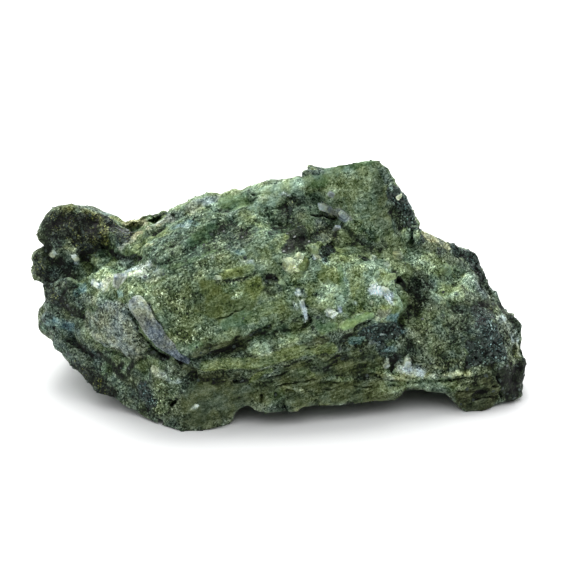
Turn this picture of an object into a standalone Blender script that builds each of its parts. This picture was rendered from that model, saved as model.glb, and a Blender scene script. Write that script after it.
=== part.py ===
"""A rough emerald: a large beryl crystal grown together with mica schist, as one faceted stone.

The stone is modelled as it lies, in millimetres turned to metres: X to the right along it,
Y away from the viewer, Z up. Each mass of the stone is the hull of a few corners. The masses
are fused, carved, broken into chips and cut flat where they touch the ground. The stone is
then moved so that its bottom centre is at the origin.
"""

import bmesh
import bpy
from mathutils import Vector, noise

NAME = "rough_emerald"
MM = 0.001

# Driving dimensions, in mm
FUSING_GRID = 0.7
CHIP = 7.0
SMALL_CHIP = 3.4
WAVE = 9.0
WAVE_HEIGHT = 0.6
GROUND_BLOCK = 200.0

# A chip's slope, and its step up or down as a share of its size
CHIP_SLOPE = 0.35
CHIP_STEP = 0.13

# Chips are this much longer than they are wide, on the crystals and on the schist.
CRYSTAL_STRETCH = 3.0
SCHIST_STRETCH = 1.3
DEEP_BREAKS = 0.5

MOST_TRIANGLES = 9600

# The long crystal's axis runs to the right, away from the viewer and up.
CRYSTAL_AXIS = Vector((0.913, 0.369, 0.174)).normalized()

# Corners of each mass, in mm. Y starts at the stone's nearest foot and Z at the ground.
MASSES = {
    # The big crystal, whose long upper face looks at the viewer.
    "prism": (
        (-27, 8, 22.8), (-16.7, 2, 14.4), (-28, 15, 28), (-24.9, 26, 30.4),
        (3, 7, 19.4), (11, 7.5, 18), (-20.9, 10.5, 26.8), (-4, 14, 30.3), (3, 14.5, 32.8),
        (-11.6, 25, 36.9), (3, 25, 39.3), (11, 15, 30),
        (-24, 36, 22), (-8, 38, 28), (5, 40, 32), (14, 40, 30),
        (-15, 8, 4), (12, 14, 4), (-24, 40, 3), (14, 42, 3),
    ),
    # Its broken upper end, with the stone's highest corner.
    "crown": (
        (3, 25, 39.3), (11.2, 23, 41.8), (16.6, 22, 43.5), (17.7, 25, 41),
        (19.4, 27, 39.3), (21.8, 27, 35.4), (26.7, 26, 27.7), (21.5, 20, 28.7), (13, 17, 28.6),
        (5, 40, 36), (16, 38, 38), (25, 38, 28),
        (5, 14, 5), (26, 16, 5), (26, 40, 4), (5, 42, 4),
    ),
    # The pale swelling right of the long face.
    "swell": (
        (2, 12, 30), (10, 12, 28.5), (20.5, 13.5, 26.5), (23, 12.5, 20), (21, 10.5, 17.5),
        (10, 6, 17.3), (3, 7, 19), (4, 26, 28), (22, 28, 26), (22, 28, 8), (4, 28, 8),
    ),
    # The shoulder that falls away to the right.
    "shoulder": (
        (22, 17, 27), (29.7, 27, 25.6), (32.9, 28, 25.2), (35.4, 27, 24.2), (38.5, 23, 18.3),
        (41.4, 21, 17), (45.6, 17.6, 12.4), (46.4, 14.6, 6.8), (40, 10.8, 6.7), (34.2, 9, 6.9),
        (16.8, 9, 8.2), (12, 7.5, 15.5), (22, 12, 19),
        (24, 38, 20), (32, 38, 16), (40, 32, 10), (42, 30, 3), (20, 42, 4), (20, 14, 5), (42, 16, 4),
    ),
    # The sill under the shoulder, with a gap below it.
    "sill": (
        (16.8, 9, 8.2), (34.2, 8.8, 6.9), (31.6, 8.6, 3.6), (21.5, 8.6, 3.4),
        (20, 20, 5), (34, 20, 5), (20, 20, 9), (34, 20, 9),
    ),
    # The schist that covers the near left end of the crystal.
    "schist_end": (
        (-27, 8, 22.8), (-16.7, 2, 14.4), (-17.5, 3, 8.4), (-21.2, 3, 2.9), (-26, 6, 2.6),
        (-32.1, 11, 1.8), (-35, 12, 3.4), (-39, 16, 6.5), (-44, 18, 7.6), (-46.2, 20, 12.5),
        (-44.9, 22, 16.1), (-41.6, 20, 19.1), (-34, 20, 26), (-28, 15, 28),
        (-44, 34, 10), (-40, 38, 20), (-28, 40, 22), (-38, 34, 3), (-25, 42, 2), (-22, 8, 2),
    ),
    # The dark knob at the upper left.
    "knob": (
        (-45.6, 28, 29.4), (-43.2, 30, 32.6), (-39.9, 29, 34), (-36.5, 30, 31.8),
        (-33.8, 30, 30.1), (-29.9, 29, 28.9), (-45.1, 28, 25.8), (-34, 22, 27), (-40, 23, 24),
        (-30, 24, 26), (-42, 37, 27), (-35, 39, 26), (-44, 27, 20), (-43, 37, 18),
        (-30, 38, 18), (-30, 24, 18),
    ),
    # The saddle between the knob and the crystal.
    "saddle": (
        (-33, 29, 29), (-29.5, 31, 29.8), (-24.5, 30, 31), (-22, 29, 31.5), (-30, 25, 26),
        (-33, 24, 20), (-22, 20, 22), (-23, 38, 24), (-33, 37, 22),
    ),
    # A point of schist on the far left.
    "spur": (
        (-49.4, 26, 21.4), (-45.4, 26, 25.4), (-44.8, 22, 18), (-45, 30, 18), (-38, 22, 22), (-38, 32, 22),
    ),
    # The pale blade that lies on the crystal's end.
    "blade": (
        (-27.4, 7, 23.2), (-23.8, 7.2, 23.4), (-19.5, 4.2, 17.6), (-15.6, 1.4, 14.3),
        (-17.4, 1.8, 13.7), (-24.6, 4.9, 16.6), (-24, 12, 21), (-16, 6, 14), (-22, 8, 16),
    ),
    # The lower crystal, whose corner is the nearest foot.
    "corner": (
        (-17.5, 0.5, -1.5), (-21.2, 3, 2.4), (-16.5, 3, 9.5), (-6.5, 4.5, 9), (-7.2, 3.5, 2.5),
        (-18, 24, 10), (-4, 24, 10), (-21, 9, -1.5), (-11, 3, -1.5), (-11, 13, -1.5), (-6, 14, 2),
    ),
    # The slab beside it, clear of the ground.
    "slab": (
        (-10, 4, 9), (-9.5, 3.4, 3.1), (3, 3, 2.6), (10.3, 4.5, 2.3), (20.6, 7.4, 2.4), (21.4, 7.6, 4.5),
        (18.5, 9, 8), (3, 5.5, 10.5), (-8, 24, 10), (20, 24, 10), (-6, 18, 5), (20, 20, 5),
    ),
    # The lit ledge between the long face and the lower crystal.
    "ledge": (
        (-15.5, 2.2, 12.6), (-14.5, 3, 10.6), (-6, 3.2, 10.4), (-6, 3, 12), (8, 4.8, 17.2),
        (9, 5.5, 15.5), (3, 5, 11), (16.5, 8.8, 9), (-14, 16, 12), (14, 18, 16), (14, 18, 8),
    ),
    # The foot at the right.
    "foot": (
        (36.3, 7, -1.5), (31, 8, 1), (32.4, 8.6, 6.5), (40, 10.6, 6.7), (41.2, 11.6, 3), (40.4, 11.6, -1.5),
        (31, 24, -1.5), (42, 26, -1.5), (31, 26, 8), (42, 26, 8),
    ),
    # The dark lump beside it.
    "dark_foot": (
        (40.5, 12.2, 6.5), (46.2, 14.6, 6.8), (45.8, 13.6, 2), (44, 11.6, 0), (40.5, 11.6, 0),
        (45.6, 26, 6), (44, 28, 0), (39, 28, 0), (39, 14, 8),
    ),
    # The hidden far side, with two more feet.
    "far_left": (
        (-32, 30, -1.5), (-22, 40, -1.5), (-14, 36, -1.5), (-20, 26, -1.5), (-36, 35, 9),
        (-24, 45, 9), (-11, 43, 10), (-34, 36, 17), (-22, 44, 21), (-8, 39, 26), (-12, 26, 5),
    ),
    "far_middle": (
        (-14, 42, 4), (8, 45, 5), (-13, 45, 13), (6, 47.5, 15), (-6, 43, 25), (8, 41, 30),
        (-10, 28, 5), (8, 28, 5),
    ),
    "far_right": (
        (7, 41, -2), (20, 40, -2), (27, 31, -2), (12, 28, -2), (3, 46, 9), (20, 47, 9),
        (35, 36, 8), (8, 46, 17), (19, 45, 23), (30, 35, 18), (2, 30, 6),
    ),
}

# Hollows and cracks, in mm: the points of a line on the surface, its half width, and how far it
# goes into the stone. A ridge comes out of it, with a minus.
CARVINGS = {
    "hollow": (((1, 18.5, 34.5), (7, 19, 35), (13, 18, 31.5)), 5.5, 3.2),
    "slit": (((1, 12, 29.5), (3, 13.5, 31), (5.5, 15.5, 32.5)), 1.7, 4.5),
    "pit": (((23.3, 14.5, 22), (24.8, 14, 21)), 2.7, 6.0),
    "pit_tail": (((25, 14, 20), (24.5, 12.5, 18.5), (22.5, 11.5, 17.5)), 1.7, 2.4),
    "pit_crack": (((19.5, 14.5, 26.5), (21, 14, 25), (22.5, 14.5, 23)), 1.3, 1.8),
    "long_groove": (
        ((-16.5, 2.5, 13.6), (-11, 3.5, 15.2), (-6, 5, 17), (-0.5, 6.5, 18.8), (4, 7, 19)), 1.7, 2.0,
    ),
    "lower_groove": (
        ((-15.5, 3.5, 10.6), (-10.5, 4, 9.5), (-7, 4, 8.7), (-1.5, 4.5, 9.8), (4, 5, 12)), 1.5, 1.9,
    ),
    "groove_pit": (((-8, 4, 8.8), (-6.5, 4, 8.8)), 1.6, 3.2),
    "corner_crack": (((-21.5, 3.5, 2), (-19, 3, 6.5), (-17, 3, 9)), 1.2, 2.2),
    "blade_shadow": (((-26, 6.8, 15), (-22, 4.5, 14), (-17.5, 2.5, 13.2)), 1.5, 2.6),
    "saddle_cleft": (((-34, 22.5, 27), (-29.5, 17, 27.5), (-24, 13.5, 28)), 1.9, 2.4),
    "knob_neck": (((-45, 24, 24), (-42, 21, 22)), 2.0, 1.8),
    "end_cleft": (((-42, 19, 17.5), (-37.5, 14, 15)), 1.5, 2.0),
    "end_pit": (((-39.5, 15.5, 11), (-36.5, 13.5, 8.5)), 1.7, 2.0),
    "end_hook": (((-30.5, 9.5, 11), (-28.5, 8, 9), (-31, 9.5, 6)), 1.3, 1.6),
    "end_scar": (((-26, 6.5, 10.5), (-25, 5.5, 7), (-24, 5, 5)), 1.6, 1.5),
    "dark_patch": (((12, 7.6, 14.8), (17, 8.6, 15), (21.5, 11, 16)), 2.2, 1.3),
    "sill_line": (((17, 9, 7.2), (25, 8.8, 6.6), (33, 9, 6.2)), 1.0, 1.2),
    "bar": (((11, 7.2, 16.4), (15, 8.8, 18.2), (18.5, 10.6, 20)), 1.3, -1.1),
    "pale_crystal": (((1.4, 11.4, 28), (3, 11.4, 28)), 1.9, -1.5),
    "round_crystal": (((-3.5, 4, 15.2), (-3.3, 4, 15.2)), 1.8, -0.9),
    "end_lump": (((-33.5, 17, 23), (-30, 15, 24)), 2.2, -1.0),
    "ridge_lump": (((35, 26, 23), (37, 24.5, 21)), 2.6, -1.2),
}

# How deep the chips are, as a share, within a reach of a centre, in mm. Each place is laid over
# those before it, so the crystals' own faces stay the flattest.
BREAKS = {
    "rest": ((0, 20, 20), 200, 0.4),
    "long_face": ((-9, 8, 21), 15, 0.15),
    "upper_face": ((-14, 20, 33), 10, 0.3),
    "left_end": ((-40, 22, 18), 22, 0.75),
    "right_end": ((38, 18, 14), 19, 0.8),
    "far_side": ((0, 58, 12), 50, 0.9),
    "hollow": ((6, 19, 34), 8, 0.7),
    "corner": ((-14, 2, 4), 10, 0.12),
    "crown": ((16, 19, 36), 8, 0.22),
}


def clear_scene():
    for old in list(bpy.data.objects):
        bpy.data.objects.remove(old)


def new_collection(name):
    made = bpy.data.collections.new(name)
    bpy.context.scene.collection.children.link(made)
    return made


def new_object(name, shape, collection):
    """Turns a bmesh into an object."""
    mesh = bpy.data.meshes.new(name)
    shape.to_mesh(mesh)
    shape.free()
    made = bpy.data.objects.new(name, mesh)
    collection.objects.link(made)
    return made


def add_hull(shape, corners):
    """Adds to the bmesh a closed hull round the corners."""
    placed = [shape.verts.new(Vector(corner) * MM) for corner in corners]
    made = bmesh.ops.convex_hull(shape, input=placed)
    inside = [part for part in made["geom_interior"] if isinstance(part, bmesh.types.BMVert)]
    bmesh.ops.delete(shape, geom=inside, context="VERTS")


def all_masses(collection):
    shape = bmesh.new()
    for corners in MASSES.values():
        add_hull(shape, corners)
    return new_object(NAME, shape, collection)


def change(stone, kind, **settings):
    """Runs one modifier on the stone and keeps its result."""
    modifier = stone.modifiers.new(kind.lower(), kind)
    for setting, value in settings.items():
        setattr(modifier, setting, value)
    result = stone.evaluated_get(bpy.context.evaluated_depsgraph_get())
    before = stone.data
    after = bpy.data.meshes.new_from_object(result)
    stone.modifiers.clear()
    stone.data = after
    bpy.data.meshes.remove(before)


def fuse(stone):
    """Joins the masses, and anything folded over, into one closed surface."""
    change(stone, "REMESH", mode="VOXEL", voxel_size=FUSING_GRID * MM)


def distance_to_line(place, line):
    nearest = float("inf")
    for start, end in zip(line, line[1:]):
        along = end - start
        share = (place - start).dot(along) / along.length_squared
        share = min(1.0, max(0.0, share))
        nearest = min(nearest, (place - start - along * share).length)
    return nearest


def carve(stone, points, width, depth):
    """Presses a hollow in along a line, or raises a ridge, all in the direction the surface faces there."""
    line = [Vector(point) for point in points]
    near = []
    for vertex in stone.data.vertices:
        share = distance_to_line(vertex.co / MM, line) / width
        if share < 1:
            near.append((vertex, vertex.normal.copy(), share))
    facing = sum((normal for _, normal, _ in near), Vector()).normalized()
    for vertex, _, share in near:
        vertex.co -= facing * depth * MM * (1 - share ** 2) ** 1.5


def break_depth(place):
    """How deep the chips are at this place, as a share."""
    depth = 0.0
    for centre, reach, share in BREAKS.values():
        weight = 2 * (1 - (place - Vector(centre)).length / reach)
        depth += (share - depth) * min(1.0, max(0.0, weight))
    return depth


def chip_height(place, size, stretch):
    """The flat, tilted top of the chip at this place, in mm. Chips lie along the crystal's axis."""
    along = CRYSTAL_AXIS * place.dot(CRYSTAL_AXIS)
    squeezed = (place - along + along / stretch) / size
    middle = noise.voronoi(squeezed)[1][0]
    tilt = (noise.cell_vector(middle * 31) - Vector((0.5, 0.5, 0.5))) * 2
    step = (noise.cell(middle * 17) - 0.5) * CHIP_STEP
    return (tilt.dot(squeezed - middle) * CHIP_SLOPE + step) * size


def break_up(stone):
    """Breaks the surface into chips, with low waves under them."""
    normals = [vertex.normal.copy() for vertex in stone.data.vertices]
    for vertex, normal in zip(stone.data.vertices, normals):
        place = vertex.co / MM
        depth = break_depth(place)
        stretch = SCHIST_STRETCH if depth > DEEP_BREAKS else CRYSTAL_STRETCH
        height = chip_height(place, CHIP, stretch) + chip_height(place, SMALL_CHIP, stretch)
        height += WAVE_HEIGHT * noise.fractal(place / WAVE, 0.8, 2.2, 4)
        vertex.co += normal * height * depth * MM


def thin_out(stone):
    """Keeps only the triangles that the form needs."""
    triangles = sum(len(face.vertices) - 2 for face in stone.data.polygons)
    change(stone, "DECIMATE", ratio=MOST_TRIANGLES / triangles, use_collapse_triangulate=True)


def ground_block(collection):
    """A block whose top is the ground."""
    shape = bmesh.new()
    bmesh.ops.create_cube(shape, size=GROUND_BLOCK * MM)
    ground = new_object("ground", shape, collection)
    ground.location.z = -GROUND_BLOCK / 2 * MM
    ground.hide_render = True
    ground.display_type = "WIRE"
    return ground


def set_down(stone):
    """Puts the bottom centre of the stone at the origin."""
    corners = [Vector(corner) for corner in stone.bound_box]
    shift = -sum(corners, Vector()) / len(corners)
    shift.z = -min(corner.z for corner in corners)
    for vertex in stone.data.vertices:
        vertex.co += shift


def stone_material():
    material = bpy.data.materials.new("emerald_in_schist")
    material.use_nodes = True
    surface = material.node_tree.nodes["Principled BSDF"]
    surface.inputs["Base Color"].default_value = (0.11, 0.17, 0.08, 1)
    surface.inputs["Roughness"].default_value = 0.6
    surface.inputs["Metallic"].default_value = 0.0
    return material


clear_scene()
stone = all_masses(new_collection(NAME))
fuse(stone)
for points, width, depth in CARVINGS.values():
    carve(stone, points, width, depth)
fuse(stone)
break_up(stone)
fuse(stone)
thin_out(stone)
change(stone, "BOOLEAN", operation="DIFFERENCE", object=ground_block(new_collection("cutters")))
set_down(stone)
stone.data.materials.append(stone_material())
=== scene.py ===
import math

import bmesh
import bpy
import numpy as np
from mathutils import Euler, Matrix, Vector, noise


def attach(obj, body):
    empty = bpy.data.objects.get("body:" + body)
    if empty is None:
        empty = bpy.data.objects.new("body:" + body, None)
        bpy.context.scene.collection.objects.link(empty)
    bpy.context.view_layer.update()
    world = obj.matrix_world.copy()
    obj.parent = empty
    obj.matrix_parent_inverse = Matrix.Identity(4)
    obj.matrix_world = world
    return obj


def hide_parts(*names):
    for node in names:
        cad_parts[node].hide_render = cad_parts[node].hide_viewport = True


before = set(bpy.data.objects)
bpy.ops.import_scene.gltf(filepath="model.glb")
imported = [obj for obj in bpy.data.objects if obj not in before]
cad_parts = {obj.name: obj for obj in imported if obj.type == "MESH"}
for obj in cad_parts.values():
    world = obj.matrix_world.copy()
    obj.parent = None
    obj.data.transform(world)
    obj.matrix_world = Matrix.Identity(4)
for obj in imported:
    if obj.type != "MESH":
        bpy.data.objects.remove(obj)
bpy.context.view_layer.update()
MM = 0.001

# Camera
# The stone is seen from its long front side and from about 25 degrees above it,
# near enough that it fills most of the picture's width.
camera = bpy.data.objects.new("camera", bpy.data.cameras.new("camera"))
bpy.context.scene.collection.objects.link(camera)
camera.data.lens = 85
camera.data.sensor_width = 36
camera.location = Vector((0.4, -229.3, 125.6)) * MM
aim = Vector((0.4, -9.07, 22.9)) * MM
camera.rotation_euler = (aim - camera.location).to_track_quat("-Z", "Y").to_euler()
bpy.context.scene.camera = camera


# White table and studio light
# The stone lies on a plain white table, in even light from all round,
# with one large soft lamp above and a little behind it.
def plain_material(name, colour, roughness):
    material = bpy.data.materials.new(name)
    material.use_nodes = True
    shader = material.node_tree.nodes["Principled BSDF"]
    shader.inputs["Base Color"].default_value = (*colour, 1)
    shader.inputs["Roughness"].default_value = roughness
    return material


def new_piece(name, form):
    """Makes an object at the origin from a bmesh, and frees the bmesh."""
    mesh = bpy.data.meshes.new(name)
    form.to_mesh(mesh)
    form.free()
    piece = bpy.data.objects.new(name, mesh)
    bpy.context.scene.collection.objects.link(piece)
    return piece


form = bmesh.new()
bmesh.ops.create_grid(form, x_segments=1, y_segments=1, size=3)
table = new_piece("white_table", form)
table.data.materials.append(plain_material("white_paper", (0.9, 0.91, 0.92), 0.9))

bpy.context.scene.view_settings.view_transform = "Standard"
world = bpy.data.worlds.new("white_surroundings")
world.use_nodes = True
sky = world.node_tree
background = sky.nodes["Background"]
background.inputs["Color"].default_value = (1, 1, 1, 1)
direction = sky.nodes.new("ShaderNodeTexCoord")
towards_window = sky.nodes.new("ShaderNodeVectorMath")
towards_window.operation = "DOT_PRODUCT"
towards_window.inputs[1].default_value = (-0.05, 0.6, 0.75)
brightness = sky.nodes.new("ShaderNodeMapRange")
brightness.interpolation_type = "SMOOTHSTEP"
brightness.inputs["From Min"].default_value = -0.3
brightness.inputs["From Max"].default_value = 0.95
brightness.inputs["To Min"].default_value = 0.04
brightness.inputs["To Max"].default_value = 1.85
sky.links.new(direction.outputs["Generated"], towards_window.inputs[0])
sky.links.new(towards_window.outputs["Value"], brightness.inputs["Value"])
sky.links.new(brightness.outputs[0], background.inputs["Strength"])
bpy.context.scene.world = world


def soft_lamp(name, place, target, width, watts, colour):
    lamp = bpy.data.objects.new(name, bpy.data.lights.new(name, "AREA"))
    bpy.context.scene.collection.objects.link(lamp)
    lamp.data.shape = "SQUARE"
    lamp.data.size = width
    lamp.data.energy = watts
    lamp.data.color = colour
    lamp.location = place
    facing = Vector(target) - Vector(place)
    lamp.rotation_euler = facing.to_track_quat("-Z", "Y").to_euler()


soft_lamp("lamp_above", (-0.06, 0.22, 0.44), (0, 0, 0.02), 0.3, 1.8, (1, 1, 0.97))

# Broken surface of the stone
# The whole stone is one lump: a rough emerald crystal in green and dark schist, broken
# out of its rock. Its faces carry growth lines along the crystal, chips, grains and
# cracks, which are cut into a fine copy of the solid's skin.
CRYSTAL_AXIS = Vector((0.913, 0.369, 0.174))
TO_CRYSTAL = CRYSTAL_AXIS.to_track_quat("X", "Z").to_matrix()
SKIN_GRID = 0.26
MOST_TRIANGLES = 198000

# Each mineral has its colour (as seen, 0 to 255), then from 0 to 1: growth lines,
# loose blocks, contrast of its grains, pale specks (pale grains and partly painted glints) and polish.
MINERALS = {
    "grey green schist": ((86, 99, 81), 0.15, 0.6, 1.1, 0.7, 0.4),
    "olive beryl": ((105, 123, 96), 0.6, 0.05, 0.8, 0.45, 0.4),
    "dull beryl": ((135, 154, 124), 0.7, 0.15, 0.9, 0.6, 0.4),
    "silky beryl": ((78, 99, 80), 1.0, 0.05, 0.9, 0.8, 0.7),
    "yellow green beryl": ((113, 129, 82), 0.8, 0.1, 0.6, 0.3, 0.4),
    "pale beryl": ((169, 192, 162), 0.4, 0.25, 1.0, 0.9, 0.6),
    "sugary beryl": ((147, 169, 138), 0.2, 0.4, 1.4, 1.1, 0.5),
    "clear green beryl": ((89, 118, 85), 0.7, 0.0, 0.4, 0.2, 0.9),
    "smooth pale beryl": ((151, 175, 150), 0.5, 0.0, 0.4, 0.3, 0.7),
    "green glass": ((100, 127, 94), 0.3, 0.0, 0.35, 0.2, 0.8),
    "bright green beryl": ((132, 159, 112), 0.5, 0.0, 0.35, 0.3, 0.6),
    "smooth olive beryl": ((90, 102, 58), 0.4, 0.0, 0.4, 0.2, 0.4),
    "speckled olive beryl": ((86, 101, 69), 0.15, 0.2, 1.2, 1.4, 0.4),
    "corner beryl": ((92, 103, 79), 0.6, 0.0, 0.45, 0.2, 0.5),
    "streaked schist": ((89, 100, 72), 0.8, 0.1, 0.5, 0.4, 0.3),
    "dark streaked schist": ((57, 64, 40), 0.9, 0.1, 0.4, 0.15, 0.3),
    "pale quartz": ((232, 242, 243), 0.0, 0.4, 1.0, 1.0, 0.8),
    "lilac quartz": ((167, 177, 189), 0.0, 0.1, 0.7, 0.6, 0.7),
    "cream quartz": ((199, 210, 181), 0.1, 0.4, 1.0, 1.0, 0.6),
    "grey crust": ((112, 123, 116), 0.1, 0.4, 1.4, 1.0, 0.4),
    "pink crust": ((133, 140, 132), 0.0, 0.4, 1.1, 0.7, 0.3),
    "blue black mica": ((38, 55, 51), 0.1, 0.7, 1.4, 1.2, 1.0),
    "dark schist": ((79, 95, 87), 0.4, 0.5, 1.1, 0.6, 0.5),
    "near black schist": ((16, 26, 12), 0.3, 0.4, 0.5, 0.3, 0.4),
    "brown black crust": ((32, 41, 35), 0.1, 0.5, 0.9, 0.9, 0.3),
    "golden crust": ((108, 109, 58), 0.0, 0.6, 1.2, 0.8, 0.3),
    "tan crust": ((188, 190, 172), 0.1, 0.4, 1.0, 0.7, 0.3),
    "cyan crust": ((107, 140, 147), 0.0, 0.2, 0.9, 0.7, 0.6),
}

# The colour that specks, pale grains and partly painted glints, add to a mineral; on all the others it is white.
SPECKS = {
    "golden crust": (1.0, 0.95, 0.35),
    "brown black crust": (0.95, 0.9, 0.35),
    "tan crust": (1.0, 0.95, 0.6),
    "blue black mica": (0.95, 1.1, 1.2),
    "yellow green beryl": (1.0, 1.0, 0.7),
}
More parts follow.
